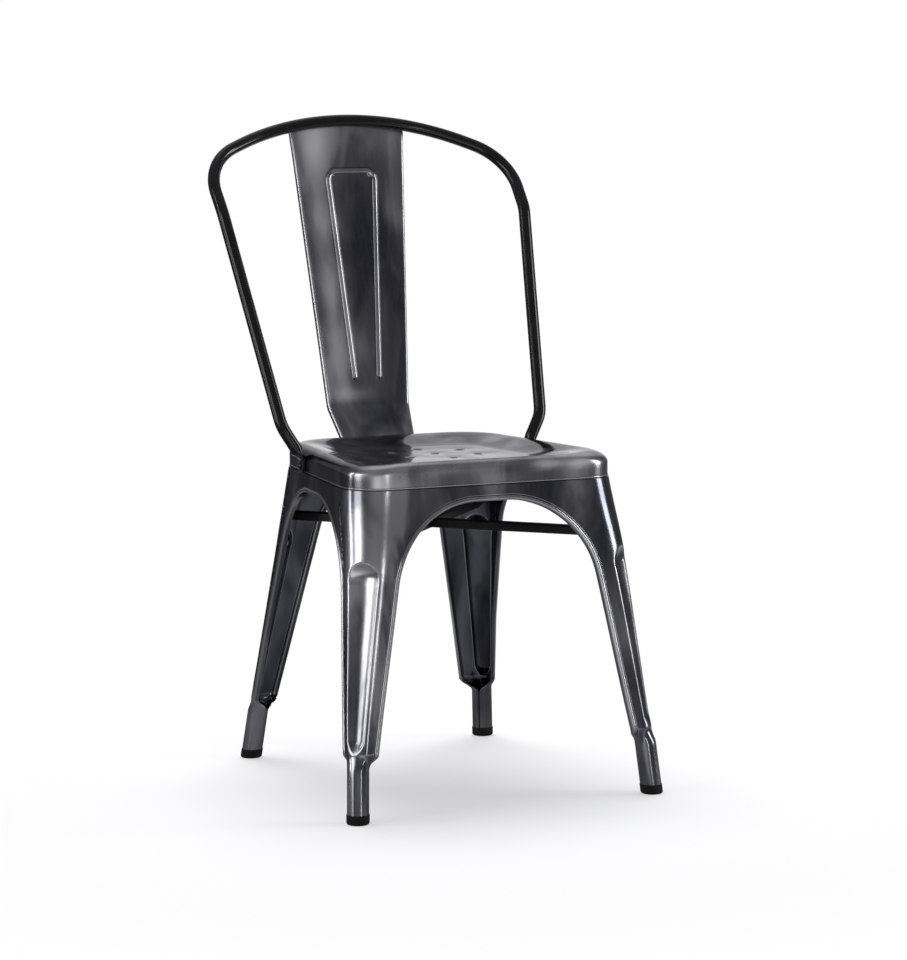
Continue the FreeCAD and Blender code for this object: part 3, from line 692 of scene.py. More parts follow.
def build_leg(is_front, mirror):
    place = "front" if is_front else "rear"
    side = "right" if mirror else "left"
    points, faces, used = [], [], 0
    outside = np.array([-2000.0, -2000.0 if is_front else 2000.0, 200.0])
    for name, grid in leg_grids(is_front):
        rows, columns, _ = grid.shape
        if name.endswith("lip"):
            # A lip's outer side faces the opening, which lies on the side of the middle of the chair
            column = columns // 2
            above, below = grid[-2:, column]
            outward = np.cross(grid[-1, column + 1] - grid[-1, column - 1], below - above)
            opening = np.array([0.0, grid[0, 0, 1], 0.0] if "face" in name else [grid[0, 0, 0], side_joint, 0.0])
            flip = outward @ (opening - above) < 0
        else:
            flip = not turned_right(grid, rows // 2 if name == "skin" else 1, outside)
        faces += grid_faces(rows, columns, used, flip=flip)
        points.append(grid.reshape(-1, 3))
        used += rows * columns
    make_piece(f"pressed_leg_{place}_{side}", np.concatenate(points), faces, steel,
               [f"leg_{place}_{side}"], thickness=sheet, mirror=mirror)


for is_front in (True, False):
    for mirror in (False, True):
        build_leg(is_front, mirror)

# %% [markdown]
# ## Seat
# The seat is made of rounded rings. From the hidden skirt inside the aprons the rings go up over a small bead
# at the seam, the skirt, the round rim and the slope, down to the floor of the dish, where seven
# drain holes are punched.

# %% Rings of the seat
corner_steps, straight_steps = 20, (26, 22)
drain_radius, drain_circle, drain_steps = 4.5, 55.0, 32
skirt_inset = sheet + 0.05
rim_radius, dish_depth, corner_growth = 14.0, 9.0, 26.0
slope_end, slope_growth, floor_lap = 74.0, 40.0, 3.0
bead_steps, rim_steps, slope_steps = 8, 18, 28
seam_bead = (0.2, 1.0, 1.0, 1.1)  # the bead at the seam: its lean inwards, depth, start and half height


def seat_ring(inset, height, growth):
    """A ring of points at an inset from the aprons' outline, turning counter-clockwise."""
    side_inset = inset * math.sqrt(1 + side_slope(seam) ** 2)
    front, rear = front_face(seam) + inset, rear_face(seam) - inset
    front_half, rear_half = (side_at(y, seam) - side_inset for y in (front, rear))
    outline = np.array([(-front_half, front), (front_half, front), (rear_half, rear), (-rear_half, rear)])
    arcs = [corner_arc(outline[index - 1], outline[index], outline[(index + 1) % 4],
                       seat_corner + growth - inset, corner_steps) for index in range(4)]
    ring = []
    for index, arc in enumerate(arcs):
        run_from, run_to, count = arc[-1], arcs[(index + 1) % 4][0], straight_steps[index % 2]
        ring += arc + [run_from + (run_to - run_from) * step / count for step in range(1, count)]
    return np.array([(x, y, height) for x, y in ring])


# Each station of the profile: inset from the aprons, height, and how much the corner's radius grows
profile = [(skirt_inset + inside, seam + rise, 0)
           for inside, rise in ((0.0, -9.0), (0.0, -2.0), (0.5, -0.6), (0.6, 0.4), (0.5, 0.8))]
for share in np.linspace(0, 1, bead_steps + 1):
    angle = math.pi * share
    profile.append((skirt_inset + seam_bead[0] * (1 - share) - seam_bead[1] * math.sin(angle),
                    seam + seam_bead[2] + seam_bead[3] * (1 - math.cos(angle)), 0))
profile += [(skirt_inset, seam + rise, 0) for rise in (3.7, 7.0, 12.0)]
for angle in np.linspace(0, math.pi / 2, rim_steps + 1):
    turned_in = 1 - math.cos(angle)
    profile.append((skirt_inset + rim_radius * turned_in, rim - rim_radius + rim_radius * math.sin(angle),
                    corner_growth * turned_in))
floor_level, floor_growth = rim - dish_depth, corner_growth + slope_growth
for share in np.linspace(0, 1, slope_steps + 1)[1:]:
    profile.append((between(skirt_inset + rim_radius, slope_end, share), rim - dish_depth * smooth_step(share),
                    between(corner_growth, floor_growth, share)))
profile.append((slope_end + floor_lap, floor_level, floor_growth))
rings = np.array([seat_ring(*station) for station in profile])

# %% Floor of the dish with its drain holes
turns = np.pi / 2 + full_turn(6)
drain_places = [(0.0, 0.0)] + [(drain_circle * math.cos(turn), drain_circle * math.sin(turn)) for turn in turns]
drain_profile = [(drain_radius + more, rise) for more, rise in ((2.2, 0.0), (0.9, -0.12), (0.3, -0.45), (0.0, -1.0))]
row_count, ring_size = rings.shape[:2]
seat_points, seat_faces = [rings.reshape(-1, 3)], grid_faces(row_count, ring_size, closed=True)
used = row_count * ring_size
loops = [range(used - ring_size, used)]
for x, y in drain_places:
    seat_points += [level_ring((x, y, floor_level + rise), radius, full_turn(drain_steps))
                    for radius, rise in drain_profile]
    seat_faces += grid_faces(len(drain_profile), drain_steps, used, closed=True)
    loops.append(range(used, used + drain_steps))
    used += len(drain_profile) * drain_steps
all_points = np.concatenate(seat_points)
filler = bmesh.new()
verts = {index: filler.verts.new(all_points[index]) for loop in loops for index in loop}
edges = [filler.edges.new((verts[first], verts[second])) for loop in loops
         for first, second in zip(loop, [*loop[1:], loop[0]])]
bmesh.ops.triangle_fill(filler, use_beauty=True, use_dissolve=False, edges=edges, normal=(0, 0, 1))
number = {vertex: index for index, vertex in verts.items()}
for face in filler.faces:
    order = tuple(number[vertex] for vertex in face.verts)
    seat_faces.append(order[::-1] if face.normal.z < 0 else order)
filler.free()

# Each rubbed spot, partly wear and partly a painted highlight: place in X, depth under the rim, half width,
# half height and strength
worn_sheen_spots = [(-192.0, 12.0, 12.0, 9.0, 0.6), (-165.0, 9.0, 14.0, 7.0, 0.35), (-120.0, 14.0, 18.0, 6.0, -0.2),
                (-60.0, 10.0, 26.0, 7.0, 0.3), (20.0, 13.0, 16.0, 6.0, -0.25), (78.0, 9.0, 18.0, 6.0, 1.0),
                (124.0, 11.0, 16.0, 6.0, 0.9), (186.0, 9.0, 12.0, 8.0, 0.6)]
band_reach, band_fade, band_share, top_fade = 34.0, 26.0, 0.3, 3.0


def seat_wear_and_sheen(places):
    """Light soft spots along the front rim and on its corners: partly wear where hands and legs rub, partly painted
    highlights.
    """
    x, y, z = places.T
    front = smooth_step((-y - seat_depth / 2 + band_reach) / band_fade)
    share = band_share * front * (1 - 0.5 * smooth_step((z - rim + top_fade) / top_fade))
    for spot_x, depth, wide, tall, strength in worn_sheen_spots:
        share = share + front * strength * np.exp(-((x - spot_x) / wide) ** 2 - ((z - rim + depth) / tall) ** 2)
    return share


make_piece("dished_seat", all_points, seat_faces, steel, ["seat_pan"], thickness=sheet,
           wear_and_sheen_at=seat_wear_and_sheen)

# %% [markdown]
# ## Back hoop
# The centre line of the tube is made of straight runs and arcs. Its lower ends are squeezed flat, lie on the
# seat's skirt and are held by a rivet. A curve with a round bevel could make the tube, but not its flat ends.
# So a Geometry Nodes tree sweeps a ring along stations, and each station says how wide and how flat it is there.

# %% Centre line
tube_radius = 8.0
back_height = seam + 102.0
tab_y = seat_depth / 2 - 105.5
tab_width, tab_end_width, tab_thickness = 22.0, 17.0, 5.0
tab_bottom, tab_top = seam + 1.0, seam + 16.0
squeeze_length = 16.0
upright_out, upright_flare = 30.8, 0.122
upright_set_back, upright_lean = 24.6, 0.425
bend_height = seam + 327.0
upper_lean = 0.83
shoulder_out, shoulder_rise = 2.1, 85.0
apex_rise, apex_radius = 198.0, 360.0
first_bend, bend_radii, first_lean = seam + 60.0, [0, 45.0, 60.0, 80.0], 0.28
end_steps, end_round_from, tab_narrows = 12, 0.72, 0.45
round_flatness, tab_flatness = 2.0, 5.0  # 2 gives a round ring, more gives one with flat sides


def upright_point(height):
    rise = height - back_height
    half_width = side_at(tab_y, seam) + upright_out + upright_flare * rise
    return np.array([half_width, tab_y + upright_set_back + upright_lean * rise, height])


def upper_point(x, rise):
    length = math.sqrt(1 + upper_lean ** 2)
    bend = upright_point(bend_height)
    return np.array([x, bend[1] + rise * upper_lean / length, bend[2] + rise / length])


shoulder_half = upright_point(bend_height)[0] + shoulder_out


def crest_point(x=0.0):
    half_turn = math.atan((apex_rise - shoulder_rise) / shoulder_half)
    centre_rise = apex_rise - apex_radius / math.cos(half_turn)
    return upper_point(x, centre_rise + math.sqrt(apex_radius ** 2 - x ** 2))


skirt_normal = unit(np.array([1.0, side_slope(seam), 0.0]))
skirt_along = np.array([-skirt_normal[1], skirt_normal[0], 0.0])


def on_skirt(height):
    return np.array([side_at(tab_y, seam), tab_y, height]) - skirt_normal * skirt_inset


tab_middle = on_skirt(0.0) + skirt_normal * (tab_thickness / 2)
lower_bend = upright_point(first_bend)
start = tab_middle + np.array([(lower_bend[0] - tab_middle[0]) * first_lean, 0, tab_top + squeeze_length - 2.0])
right_half = [start, lower_bend, upright_point(bend_height), upper_point(shoulder_half, shoulder_rise)]
left_half = [point * mirrored for point in right_half[::-1]]
line = rounded_path(right_half + [upper_point(0, apex_rise)] + left_half,
                    bend_radii + [apex_radius] + bend_radii[::-1], arc_step=3.0, straight_step=8.0)

# %% Stations along the line: each has a centre, two directions, two half sizes and a flatness
directions = unit(np.gradient(line, axis=0))
guide = unit(skirt_along - directions[0] * (skirt_along @ directions[0]))
start_other, skirt_other = np.cross(directions[0], guide), np.cross((0.0, 0.0, 1.0), skirt_along)
stations = []
for step in range(end_steps, 0, -1):
    share = step / end_steps
    rounded = math.sqrt(max(0.0, 1 - max(0.0, (share - end_round_from) / (1 - end_round_from)) ** 2))
    half_width = between(tab_width, tab_end_width, share) / 2 * (tab_narrows + (1 - tab_narrows) * rounded)
    thin = tab_thickness / 2 * (1.0 if share < 0.95 else 0.8)
    centre = np.array([tab_middle[0], tab_middle[1], between(tab_top - 1.0, tab_bottom, share)])
    stations.append((centre, skirt_along, skirt_other, half_width, thin, tab_flatness))
for step in range(end_steps, 0, -1):
    share = step / end_steps
    drop = smooth_step(share)
    centre = np.array([*between(start[:2], tab_middle[:2], drop), between(start[2], tab_top - 1.0, share)])
    stations.append((centre, unit(between(guide, skirt_along, drop)), unit(between(start_other, skirt_other, drop)),
                     between(tube_radius, tab_width / 2, drop), between(tube_radius, tab_thickness / 2, drop),
                     between(round_flatness, tab_flatness, drop)))
right_line = [(centre, direction) for centre, direction in zip(line, directions) if centre[0] > 2.0]
right_line.append((crest_point(), np.array([-1.0, 0.0, 0.0])))
for centre, direction in right_line:
    guide = unit(guide - direction * (guide @ direction))
    stations.append((centre, guide, np.cross(direction, guide), tube_radius, tube_radius, round_flatness))
stations += [(*(part * mirrored for part in station[:3]), *station[3:]) for station in stations[-2::-1]]
print("stations along the hoop:", len(stations))


# %% Helpers for Geometry Nodes
def new_tree(name, inputs):
    """A Geometry Nodes tree with a geometry socket at each end and named inputs."""
    tree = bpy.data.node_groups.new(name, "GeometryNodeTree")
    tree.interface.new_socket(name="Geometry", in_out="INPUT", socket_type="NodeSocketGeometry")
    for label, kind in inputs:
        tree.interface.new_socket(name=label, in_out="INPUT", socket_type=kind)
    tree.interface.new_socket(name="Geometry", in_out="OUTPUT", socket_type="NodeSocketGeometry")
    return tree, add_node(tree, "NodeGroupInput"), add_node(tree, "NodeGroupOutput")


def chain(tree, source, *nodes):
    """Links a geometry through the nodes, each by its first input and output."""
    for node in nodes:
        tree.links.new(source, node.inputs[0])
        source = node.outputs[0] if node.outputs else None
    return source


def stored(tree, name, kind="FLOAT_VECTOR"):
    return add_node(tree, "GeometryNodeInputNamedAttribute", {"Name": name}, data_type=kind).outputs["Attribute"]


def grown(tree, points, edges, attributes, inputs):
    """Runs a tree on a plain line or cloud of points, and gives back the points and faces it makes."""
    mesh = bpy.data.meshes.new(tree.name)
    mesh.from_pydata(points, edges, [])
    for name, values in attributes.items():
        values = np.asarray(values, np.float32)
        kind, field = ("FLOAT_VECTOR", "vector") if values.ndim > 1 else ("FLOAT", "value")
        mesh.attributes.new(name, kind, "POINT").data.foreach_set(field, values.ravel())
    holder = bpy.data.objects.new(tree.name, mesh)
    bpy.context.scene.collection.objects.link(holder)
    modifier = holder.modifiers.new(tree.name, "NODES")
    modifier.node_group = tree
    for socket in tree.interface.items_tree:
        if socket.in_out == "INPUT" and socket.name in inputs:
            modifier[socket.identifier] = inputs[socket.name]
    bpy.context.view_layer.update()
    made = bpy.data.meshes.new_from_object(holder.evaluated_get(bpy.context.evaluated_depsgraph_get()))
    bpy.data.objects.remove(holder)
    made_points = np.array([vertex.co for vertex in made.vertices])
    made_faces = [tuple(face.vertices) for face in made.polygons]
    bpy.data.meshes.remove(made)
    return made_points, made_faces


def facing_out(points, faces):
    """The faces of a closed form, turned outwards if its volume comes out negative."""
    volume = 0.0
    for face in faces:
        for second, third in zip(face[1:], face[2:]):
            volume += float(points[face[0]] @ np.cross(points[second], points[third]))
    return [face[::-1] for face in faces] if volume < 0 else faces


# %% A ring swept along the stations
sweep, sweep_in, sweep_out = new_tree("ring_along_stations",
                                      [("Steps Around", "NodeSocketInt"), ("Material", "NodeSocketMaterial")])
ring = add_node(sweep, "GeometryNodeCurvePrimitiveCircle", {
    "Radius": 1.0, "Resolution": sweep_in.outputs["Steps Around"]}, mode="RADIUS")
keep_spot = add_node(sweep, "GeometryNodeStoreNamedAttribute", {
    "Name": "spot", "Geometry": ring.outputs["Curve"],
    "Value": add_node(sweep, "GeometryNodeInputPosition").outputs[0]}, data_type="FLOAT_VECTOR", domain="POINT")
rail = add_node(sweep, "GeometryNodeMeshToCurve")
skin = add_node(sweep, "GeometryNodeCurveToMesh", {
    "Fill Caps": True, "Profile Curve": keep_spot.outputs["Geometry"]})
spot = add_node(sweep, "ShaderNodeSeparateXYZ", {0: stored(sweep, "spot")}).outputs
flatness = stored(sweep, "flatness", "FLOAT")
powers = [maths(sweep, "POWER", maths(sweep, "ABSOLUTE", spot[axis]), flatness) for axis in "XY"]
bulge = maths(sweep, "POWER", maths(sweep, "ADD", *powers), maths(sweep, "DIVIDE", -1.0, flatness))
place_of_vertex = stored(sweep, "centre")
for axis, direction, half_size in (("X", "side", "half_side"), ("Y", "other", "half_other")):
    reach = maths(sweep, "MULTIPLY", maths(sweep, "MULTIPLY", spot[axis], bulge), stored(sweep, half_size, "FLOAT"))
    step_out = add_node(sweep, "ShaderNodeVectorMath", {0: stored(sweep, direction), "Scale": reach}, operation="SCALE")
    place_of_vertex = add_node(sweep, "ShaderNodeVectorMath", {0: place_of_vertex, 1: step_out.outputs[0]},
                               operation="ADD").outputs[0]
move = add_node(sweep, "GeometryNodeSetPosition", {"Position": place_of_vertex})
finish = add_node(sweep, "GeometryNodeSetMaterial", {"Material": sweep_in.outputs["Material"]})
last = chain(sweep, sweep_in.outputs["Geometry"], rail, skin, move,
             add_node(sweep, "GeometryNodeRealizeInstances"), finish)
feed(sweep, sweep_out, {"Geometry": last})

parts = dict(zip(("centre", "side", "other", "half_side", "half_other", "flatness"),
                 (np.array(values) for values in zip(*stations))))
hoop_points, hoop_faces = grown(
    sweep, parts["centre"].tolist(), [(index, index + 1) for index in range(len(stations) - 1)], parts,
    {"Steps Around": 40, "Material": tube_paint})
make_piece("bent_tube_hoop", hoop_points, facing_out(hoop_points, hoop_faces), tube_paint, ["back_hoop"])

# %% [markdown]
# ## Rivets
# Each rivet is one turned shape: a domed head on the tab, a shank and an upset end inside the skirt. One rivet
# is made on the Z axis and set at both places by a second tree, which turns it to the skirt's direction.

# %% One rivet on the Z axis
rivet_steps = 40
rivet_profile = [(0.02, 2.4), (1.2, 2.3), (2.4, 1.95), (3.4, 1.35), (4.1, 0.65), (4.45, 0.2), (4.4, 0.02), (2.5, 0.0),
                 (2.5, -6.2), (3.4, -6.25), (3.5, -6.9), (3.2, -7.9), (2.2, -8.5), (0.02, -8.7)]
rivet_turn = full_turn(rivet_steps)
rivet_points = np.concatenate([level_ring((0.0, 0.0, height), radius, rivet_turn) for radius, height in rivet_profile])
rivet_ends = [tuple(range(rivet_steps)), tuple(reversed(range(len(rivet_points) - rivet_steps, len(rivet_points))))]
rivet_faces = grid_faces(len(rivet_profile), rivet_steps, closed=True, flip=True) + rivet_ends
rivet_mesh = bpy.data.meshes.new("one_rivet")
rivet_mesh.from_pydata(rivet_points.tolist(), [], facing_out(rivet_points, rivet_faces))
one_rivet = bpy.data.objects.new("one_rivet", rivet_mesh)

# %% Rivets at both ends of the hoop
setting, setting_in, setting_out = new_tree("rivets_on_points",
                                            [("Rivet", "NodeSocketObject"), ("Material", "NodeSocketMaterial")])
shape = add_node(setting, "GeometryNodeObjectInfo", {"Object": setting_in.outputs["Rivet"]})
aim = add_node(setting, "FunctionNodeAlignRotationToVector", {"Vector": stored(setting, "outward")}, axis="Z")
copies = add_node(setting, "GeometryNodeInstanceOnPoints", {
    "Instance": shape.outputs["Geometry"], "Rotation": aim.outputs["Rotation"]})
painted = add_node(setting, "GeometryNodeSetMaterial", {"Material": setting_in.outputs["Material"]})
last = chain(setting, setting_in.outputs["Geometry"], copies,
             add_node(setting, "GeometryNodeRealizeInstances"), painted)
feed(setting, setting_out, {"Geometry": last})
right_base = on_skirt((tab_top + tab_bottom) / 2) + skirt_normal * tab_thickness
rivet_points, rivet_faces = grown(setting, [list(right_base), list(right_base * mirrored)], [],
                                  {"outward": [skirt_normal, skirt_normal * mirrored]},
                                  {"Rivet": one_rivet, "Material": tube_paint})
bpy.data.objects.remove(one_rivet)
make_piece("domed_rivets", rivet_points, rivet_faces, tube_paint, ["hoop_rivets"])

# %% [markdown]
# ## Splat
# The splat is a strip of sheet with both sides turned back. Its columns follow the raised bead, and its rows
# go from the toe behind the seat, round the knee, up to the arc of the hoop.

# %% Splat
splat_y, splat_half, splat_flare = seat_depth / 2 + 49.7, 61.2, 0.0645
knee, toe_low, toe_high, toe_half = seam + 68.0, seam + 1.0, seam + 10.0, 50.0
knee_radius, toe_radius = 16.0, 12.0
turn_radius, turn_depth = 4.0, 7.0
bead_half, bead_flare, bead_corner = 17.4, 0.062, 13.0
bead_top, bead_low = crest_point()[2] - 66.7, knee + 37.0
bead_radius, bead_rise = 4.2, 2.4
bead_softness, narrowest_bead, bead_zone_half = 0.28, 6.5, 6.0
crest = crest_point()
splat_lean = (crest[1] + 1.0 - splat_y) / (crest[2] - back_height)
toe_y = seat_depth / 2 - skirt_inset
straight_from, top_rows, tube_lap, arc_from = knee + 60.0, crest[2] - 8.0, 7.9, 0.85


def splat_front(height):
    return splat_y + splat_lean * (height - back_height)


def panel_half(height):
    return splat_half + splat_flare * (height - back_height)


def bead_out(height):
    return bead_half + bead_flare * (height - back_height)


lower_path = rounded_path([(toe_y, toe_low), (toe_y, toe_high), (splat_front(knee), knee),
                           (splat_front(straight_from), straight_from)],
                          [0, toe_radius, knee_radius, 0], arc_step=1.5, straight_step=6.0)
levels = np.concatenate([
    spaced([knee + 26.0, knee + 46.0], [0.8]), spaced([knee + 50.0, straight_from], [5.0]),
    spaced([straight_from, bead_top - 16.0, bead_top + 8.0, top_rows], [6.0, 0.8, 5.0])[1:]])
profile_rows = np.array([tuple(point) for point in lower_path if point[1] < knee + 25.0]
                        + [(splat_front(level), level) for level in levels])
tangents = unit(np.gradient(profile_rows, axis=0))
back_normals = np.stack([tangents[:, 1], -tangents[:, 0]], axis=1)
bead_zone = np.linspace(-bead_zone_half, bead_zone_half, 19)
inner_zone, outer_zone = np.linspace(0.0, 1.0, 9)[1:-1], np.linspace(0.0, 1.0, 9)[1:]
edge_turns = 7


def splat_row(z):
    """One row of the splat: places across, and how far each lies behind the front face."""
    narrow = toe_half + (panel_half(knee) - toe_half) * np.clip((z - toe_high) / (knee - toe_high), 0, 1)
    half = panel_half(z) if z > knee else narrow
    bead = max(narrowest_bead, bead_out(z))
    flat_end = half - turn_radius
    right = [*(inner_zone * (bead - bead_zone_half)), *(bead + bead_zone),
             *between(bead + bead_zone_half, flat_end, outer_zone)]
    across = np.array([-x for x in right[::-1]] + [0.0] + right)
    turn = [(flat_end + turn_radius * math.sin(a), turn_radius * (1 - math.cos(a)))
            for a in np.linspace(0, math.pi / 2, edge_turns + 1)[1:]]
    turn += [(half, turn_radius + 1.5), (half, turn_depth)]
    turn_x, turn_back = np.array(turn).T
    return (np.concatenate([-turn_x[::-1], across, turn_x]),
            np.concatenate([turn_back[::-1], np.zeros_like(across), turn_back]))


bead_line = rounded_path([(-bead_out(bead_low), bead_low), (-bead_out(bead_top), bead_top),
                          (bead_out(bead_top), bead_top), (bead_out(bead_low), bead_low)],
                         [0, bead_corner, bead_corner, 0], arc_step=1.0)


def distance_to_line(x, z, line_points):
    """Distance in the sheet from places (x, z) to the bead's centre line."""
    stretch = math.sqrt(1 + splat_lean ** 2)
    here = np.stack([x, z * stretch], axis=-1)
    best = np.full(x.shape, 1e9)
    for first, second in zip(line_points, line_points[1:]):
        a, b = (np.array([x_place, z_place * stretch]) for x_place, z_place in (first, second))
        run = b - a
        share = np.clip(((here - a) @ run) / max(run @ run, 1e-9), 0, 1)
        best = np.minimum(best, np.linalg.norm(here - (a + share[..., None] * run), axis=-1))
    return best


splat_rows = []
bead_sink = bead_radius - bead_rise
for (y, z), normal in zip(profile_rows, back_normals):
    across, behind = splat_row(z)
    level = np.full_like(across, z)
    if z > straight_from:
        share = (z - straight_from) / (top_rows - straight_from)
        top = np.array([crest_point(x)[2] for x in np.clip(across, -200, 200)]) - tube_lap
        level = level + (top - top_rows) * smooth_step((share - arc_from) / (1 - arc_from))
    away = distance_to_line(across, level, bead_line)
    lift = np.sqrt(np.maximum(bead_radius ** 2 - away ** 2, 0)) - bead_sink
    lift = soft_positive(lift, bead_softness) - bead_softness ** 2 / bead_sink
    depth = behind - np.where(behind < 1e-6, np.maximum(lift, 0), 0)
    front_y = y + splat_lean * (level - z) if z > knee else np.full_like(level, y)
    splat_rows.append(np.stack([across, front_y + depth * normal[0], level + depth * normal[1]], axis=1))
splat_grid = np.array(splat_rows)
rows, columns = splat_grid.shape[:2]
flip = not turned_right(splat_grid, rows // 2, np.array([0.0, -2000.0, 600.0]))


def splat_painted_sheen(places):
    """A painted sheen: a light band down the left side, wider near the top."""
    x, z = places[:, 0], places[:, 2]
    across = (x + panel_half(z)) / (2 * panel_half(z))
    band = np.exp(-((across - 0.17) / 0.13) ** 2) * smooth_step((z - knee + 25.0) / 60.0)
    band = band * (0.8 + 0.2 * np.sin(z / 19.0) * np.sin(z / 47.0 + 1.0))
    band = band + 0.7 * np.exp(-((across - 0.3) / 0.25) ** 2 - ((z - knee - 14.0) / 9.0) ** 2)
    top = smooth_step((z - crest[2] + 75.0) / 60.0) * (0.25 + 0.2 * np.cos((across - 0.22) * 11.0))
    return 0.75 * band + top


make_piece("pressed_splat", splat_grid.reshape(-1, 3), grid_faces(rows, columns, flip=flip), steel, ["back_splat"],
           thickness=sheet, wear_and_sheen_at=splat_painted_sheen)

# %% [markdown]
# ## Braces
# The two channels under the seat keep the frame's own form. A copy of each is cleaned up, so that its flat
# sides are single faces, and its edges are softened.

# %% Braces
brace_weld, flat_angle = 0.01, math.radians(1.0)
for name in ("brace_lower", "brace_upper"):
    work = bmesh.new()
    work.from_mesh(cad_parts[name].data)
    bmesh.ops.remove_doubles(work, verts=work.verts, dist=brace_weld * metre)
    bmesh.ops.dissolve_limit(work, angle_limit=flat_angle, verts=work.verts, edges=work.edges)
    plain = bpy.data.meshes.new("outline_" + name)
    work.to_mesh(plain)
    work.free()
    outline_points = from_frame(np.array([vertex.co for vertex in plain.vertices]))
    outline_faces = [tuple(face.vertices) for face in plain.polygons]
    make_piece("channel_" + name, outline_points, outline_faces, brace_paint, [name], bevel=0.35)
    bpy.data.meshes.remove(plain)

# %% [markdown]
# ## Foot caps
# A cap is a turned shape about the foot's leaning axis, pressed level where it stands on the floor. Its
# underside has a shallow recess with a ring.

# %% Foot caps
cap_radius = foot_radius + 0.7
cap_steps = 48
cap_profile = [(foot_radius - 1.6, cap_height + 14.0), (foot_radius - 1.3, cap_height + 13.0),
               (foot_radius - 1.3, cap_height - 0.4), (foot_radius + 0.1, cap_height - 0.1),
               (cap_radius - 0.3, cap_height + 0.1), (cap_radius, cap_height - 0.5), (cap_radius, cap_height - 5.0),
               (cap_radius, 3.2), (cap_radius - 0.25, 1.9), (cap_radius - 0.9, 0.8), (cap_radius - 2.0, 0.15),
               (cap_radius - 3.2, 0.0), (7.4, 0.0), (6.9, 0.35), (6.6, 1.0), (4.2, 1.0), (3.9, 0.7), (3.2, 0.7),
               (2.9, 1.0), (0.02, 1.0)]
for is_front, place in ((True, "front"), (False, "rear")):
    cap_points = np.concatenate([level_ring(foot_centre(is_front, height), radius, full_turn(cap_steps))
                                 for radius, height in cap_profile])
    cap_faces = grid_faces(len(cap_profile), cap_steps, closed=True, flip=True) + [tuple(range(cap_steps))]
    for side, mirror in (("left", False), ("right", True)):
        make_piece(f"rubber_cap_{place}_{side}", cap_points, cap_faces, rubber, [f"foot_cap_{place}_{side}"],
                   mirror=mirror)

# %% [markdown]
# ## Studio
# The camera sees white on all sides. Reflections see white only straight behind the chair and on a strip of the
# floor, and a darker room elsewhere, because a room that is white all round makes the steel too light. Near the
# chair, reflections see the floor darkened as a painted shadow. Tall soft lamps draw the long highlights on the
# corners, and one lamp hangs overhead.

# %% Floor
view_ahead, view_right = (0.4235, 0.9059, 0.0), (0.9059, -0.4235, 0.0)
white = (1.0, 1.0, 1.0)
floor_half, paper_half = 30.0, 3.0


def along(tree, place, direction):
    """How far a place or a direction reaches along another direction."""
    return add_node(tree, "ShaderNodeVectorMath", {0: place, 1: direction}, operation="DOT_PRODUCT").outputs["Value"]


def ray_kinds(tree):
    """Which rays come from the camera, and which see the surroundings: also mirrored and passed on rays."""
    path = add_node(tree, "ShaderNodeLightPath").outputs
    seen = maths(tree, "MAXIMUM", path["Is Camera Ray"], path["Is Glossy Ray"])
    return path["Is Camera Ray"], maths(tree, "MAXIMUM", seen, path["Is Transmission Ray"])


def mix_shaders(tree, share, first, second, output):
    mix = add_node(tree, "ShaderNodeMixShader", {"Fac": share, 1: first.outputs[0], 2: second.outputs[0]})
    add_node(tree, output, {"Surface": mix.outputs[0]})


floor_mesh = bpy.data.meshes.new("studio_floor")
floor_mesh.from_pydata([(-floor_half, -floor_half, 0), (floor_half, -floor_half, 0), (floor_half, floor_half, 0),
                        (-floor_half, floor_half, 0)], [], [(0, 1, 2, 3)])
floor = bpy.data.objects.new("studio_floor", floor_mesh)
bpy.context.scene.collection.objects.link(floor)
floor_material = bpy.data.materials.new("studio_floor")
floor_material.use_nodes = True
floor_tree = floor_material.node_tree
floor_tree.nodes.clear()
from_camera, seen = ray_kinds(floor_tree)
floor_place = add_node(floor_tree, "ShaderNodeTexCoord").outputs["Object"]
away = add_node(floor_tree, "ShaderNodeVectorMath", {0: floor_place}, operation="LENGTH").outputs["Value"]
sideways = span(floor_tree, along(floor_tree, floor_place, view_right), -paper_half, paper_half, 0.0, 1.0)
paper = colour_steps(floor_tree, sideways, [
    (0.0, (0.06, 0.06, 0.065)), (0.33, (0.1, 0.1, 0.105)), (0.43, white), (0.63, white),
    (0.74, (0.2, 0.2, 0.205)), (1.0, (0.12, 0.12, 0.125))])
# Reflections see the floor near the chair darkened: a painted shadow
painted_shadow_under_chair = span(floor_tree, away, 0.4, 1.1, 0.85, 0.0)
paper = blend_colour(floor_tree, painted_shadow_under_chair, paper, (0.05, 0.05, 0.055))
matte = add_node(floor_tree, "ShaderNodeBsdfDiffuse", {"Color": (0.8, 0.8, 0.81, 1)})
glow = add_node(floor_tree, "ShaderNodeEmission", {"Color": blend_colour(floor_tree, from_camera, paper, white)})
camera_share = maths(floor_tree, "MULTIPLY", from_camera, span(floor_tree, away, 0.35, 1.1, 0.5, 1.0))
glow_share = maths(floor_tree, "ADD", camera_share, maths(floor_tree, "SUBTRACT", seen, from_camera))
mix_shaders(floor_tree, glow_share, matte, glow, "ShaderNodeOutputMaterial")
floor_mesh.materials.append(floor_material)

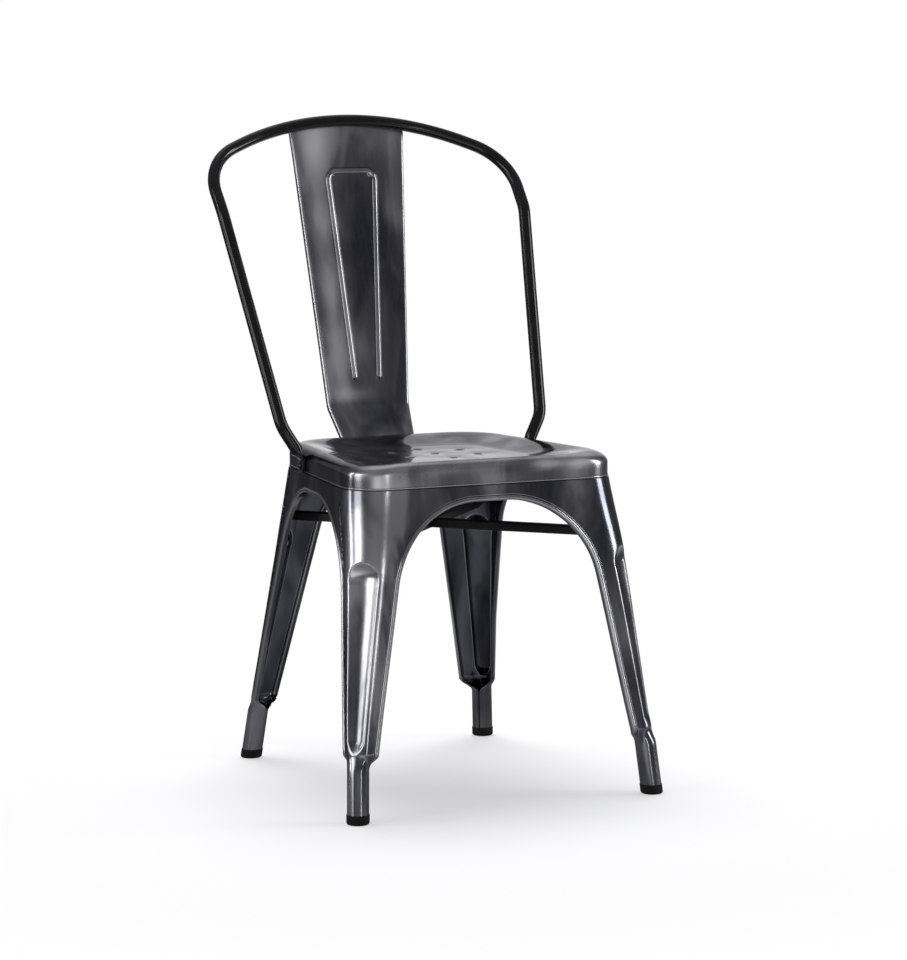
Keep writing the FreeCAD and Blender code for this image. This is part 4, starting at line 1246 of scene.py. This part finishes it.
# %% World
world = bpy.data.worlds.new("studio")
bpy.context.scene.world = world
world.use_nodes = True
sky = world.node_tree
sky.nodes.clear()
from_camera, seen = ray_kinds(sky)
look = add_node(sky, "ShaderNodeTexCoord").outputs["Generated"]
ahead, upward = along(sky, look, view_ahead), along(sky, look, (0.0, 0.0, 1.0))
off_side = maths(sky, "ABSOLUTE", along(sky, look, view_right))
backdrop = maths(sky, "MULTIPLY", span(sky, off_side, 0.18, 0.5, 1.0, 0.0), span(sky, upward, 0.03, 0.2, 1.0, 0.5))
backdrop = maths(sky, "MULTIPLY", backdrop, span(sky, ahead, 0.0, 0.4, 0.0, 1.0))
room = colour_steps(sky, span(sky, upward, -0.1, 1.0, 0.0, 1.0),
                    [(0.0, (0.13, 0.13, 0.135)), (0.5, (0.12, 0.12, 0.125)), (1.0, (0.16, 0.16, 0.165))])
room = blend_colour(sky, span(sky, ahead, -0.97, -0.8, 0.6, 0.0), room, (0.3, 0.3, 0.31))
seen_colour = blend_colour(sky, maths(sky, "MAXIMUM", backdrop, from_camera), room, white)
lit = add_node(sky, "ShaderNodeBackground", {"Color": (0.9, 0.94, 1.0, 1), "Strength": 0.25})
shown = add_node(sky, "ShaderNodeBackground", {"Color": seen_colour})
mix_shaders(sky, seen, lit, shown, "ShaderNodeOutputWorld")


# %% Lamps
def soft_lamp(name, place, target, width, height, power):
    """A soft panel that faces its target, in metres and watts."""
    lamp = bpy.data.lights.new(name, "AREA")
    lamp.shape = "RECTANGLE"
    lamp.size, lamp.size_y = width, height
    lamp.energy = power
    holder = bpy.data.objects.new(name, lamp)
    holder.location = place
    holder.rotation_euler = (Vector(target) - Vector(place)).to_track_quat("-Z", "Y").to_euler()
    bpy.context.scene.collection.objects.link(holder)
    return holder


soft_lamp("panel_left", (-2.7, -0.5, 1.1), (0, 0, 0.45), 1.0, 2.0, 15)
soft_lamp("edge_left", (-2.7, 0.75, 1.2), (0, 0, 0.45), 0.2, 2.2, 9)
soft_lamp("strip_front", (0.3, -3.2, 0.65), (0, 0, 0.3), 0.16, 1.1, 3.5)
soft_lamp("panel_right", (2.7, -1.2, 1.2), (0, 0, 0.45), 0.9, 2.0, 30)
overhead = soft_lamp("overhead", (0.2, 0.6, 2.6), (0, 0, 0.4), 1.8, 1.4, 75)
overhead.visible_glossy = False

# %% Camera
camera_data = bpy.data.cameras.new("camera")
camera = bpy.data.objects.new("camera", camera_data)
bpy.context.scene.collection.objects.link(camera)
focal_pixels, image_height, sensor = 3258.5, 960, 36.0
camera_data.sensor_fit = "VERTICAL"
camera_data.sensor_height = camera_data.sensor_width = sensor
camera_data.lens = focal_pixels / image_height * sensor
camera_data.clip_end = 200.0
camera_place = (-1.7362, -3.7991, 0.8863)
yaw, pitch, roll = math.radians(-25.06), math.radians(90 - 6.87), -0.0033
camera.matrix_world = (Matrix.Translation(camera_place) @ Matrix.Rotation(yaw, 4, "Z")
                       @ Matrix.Rotation(pitch, 4, "X") @ Matrix.Rotation(roll, 4, "Z"))
bpy.context.scene.camera = camera
bpy.context.scene.view_settings.view_transform = "Standard"

# %% The end
bpy.context.view_layer.update()
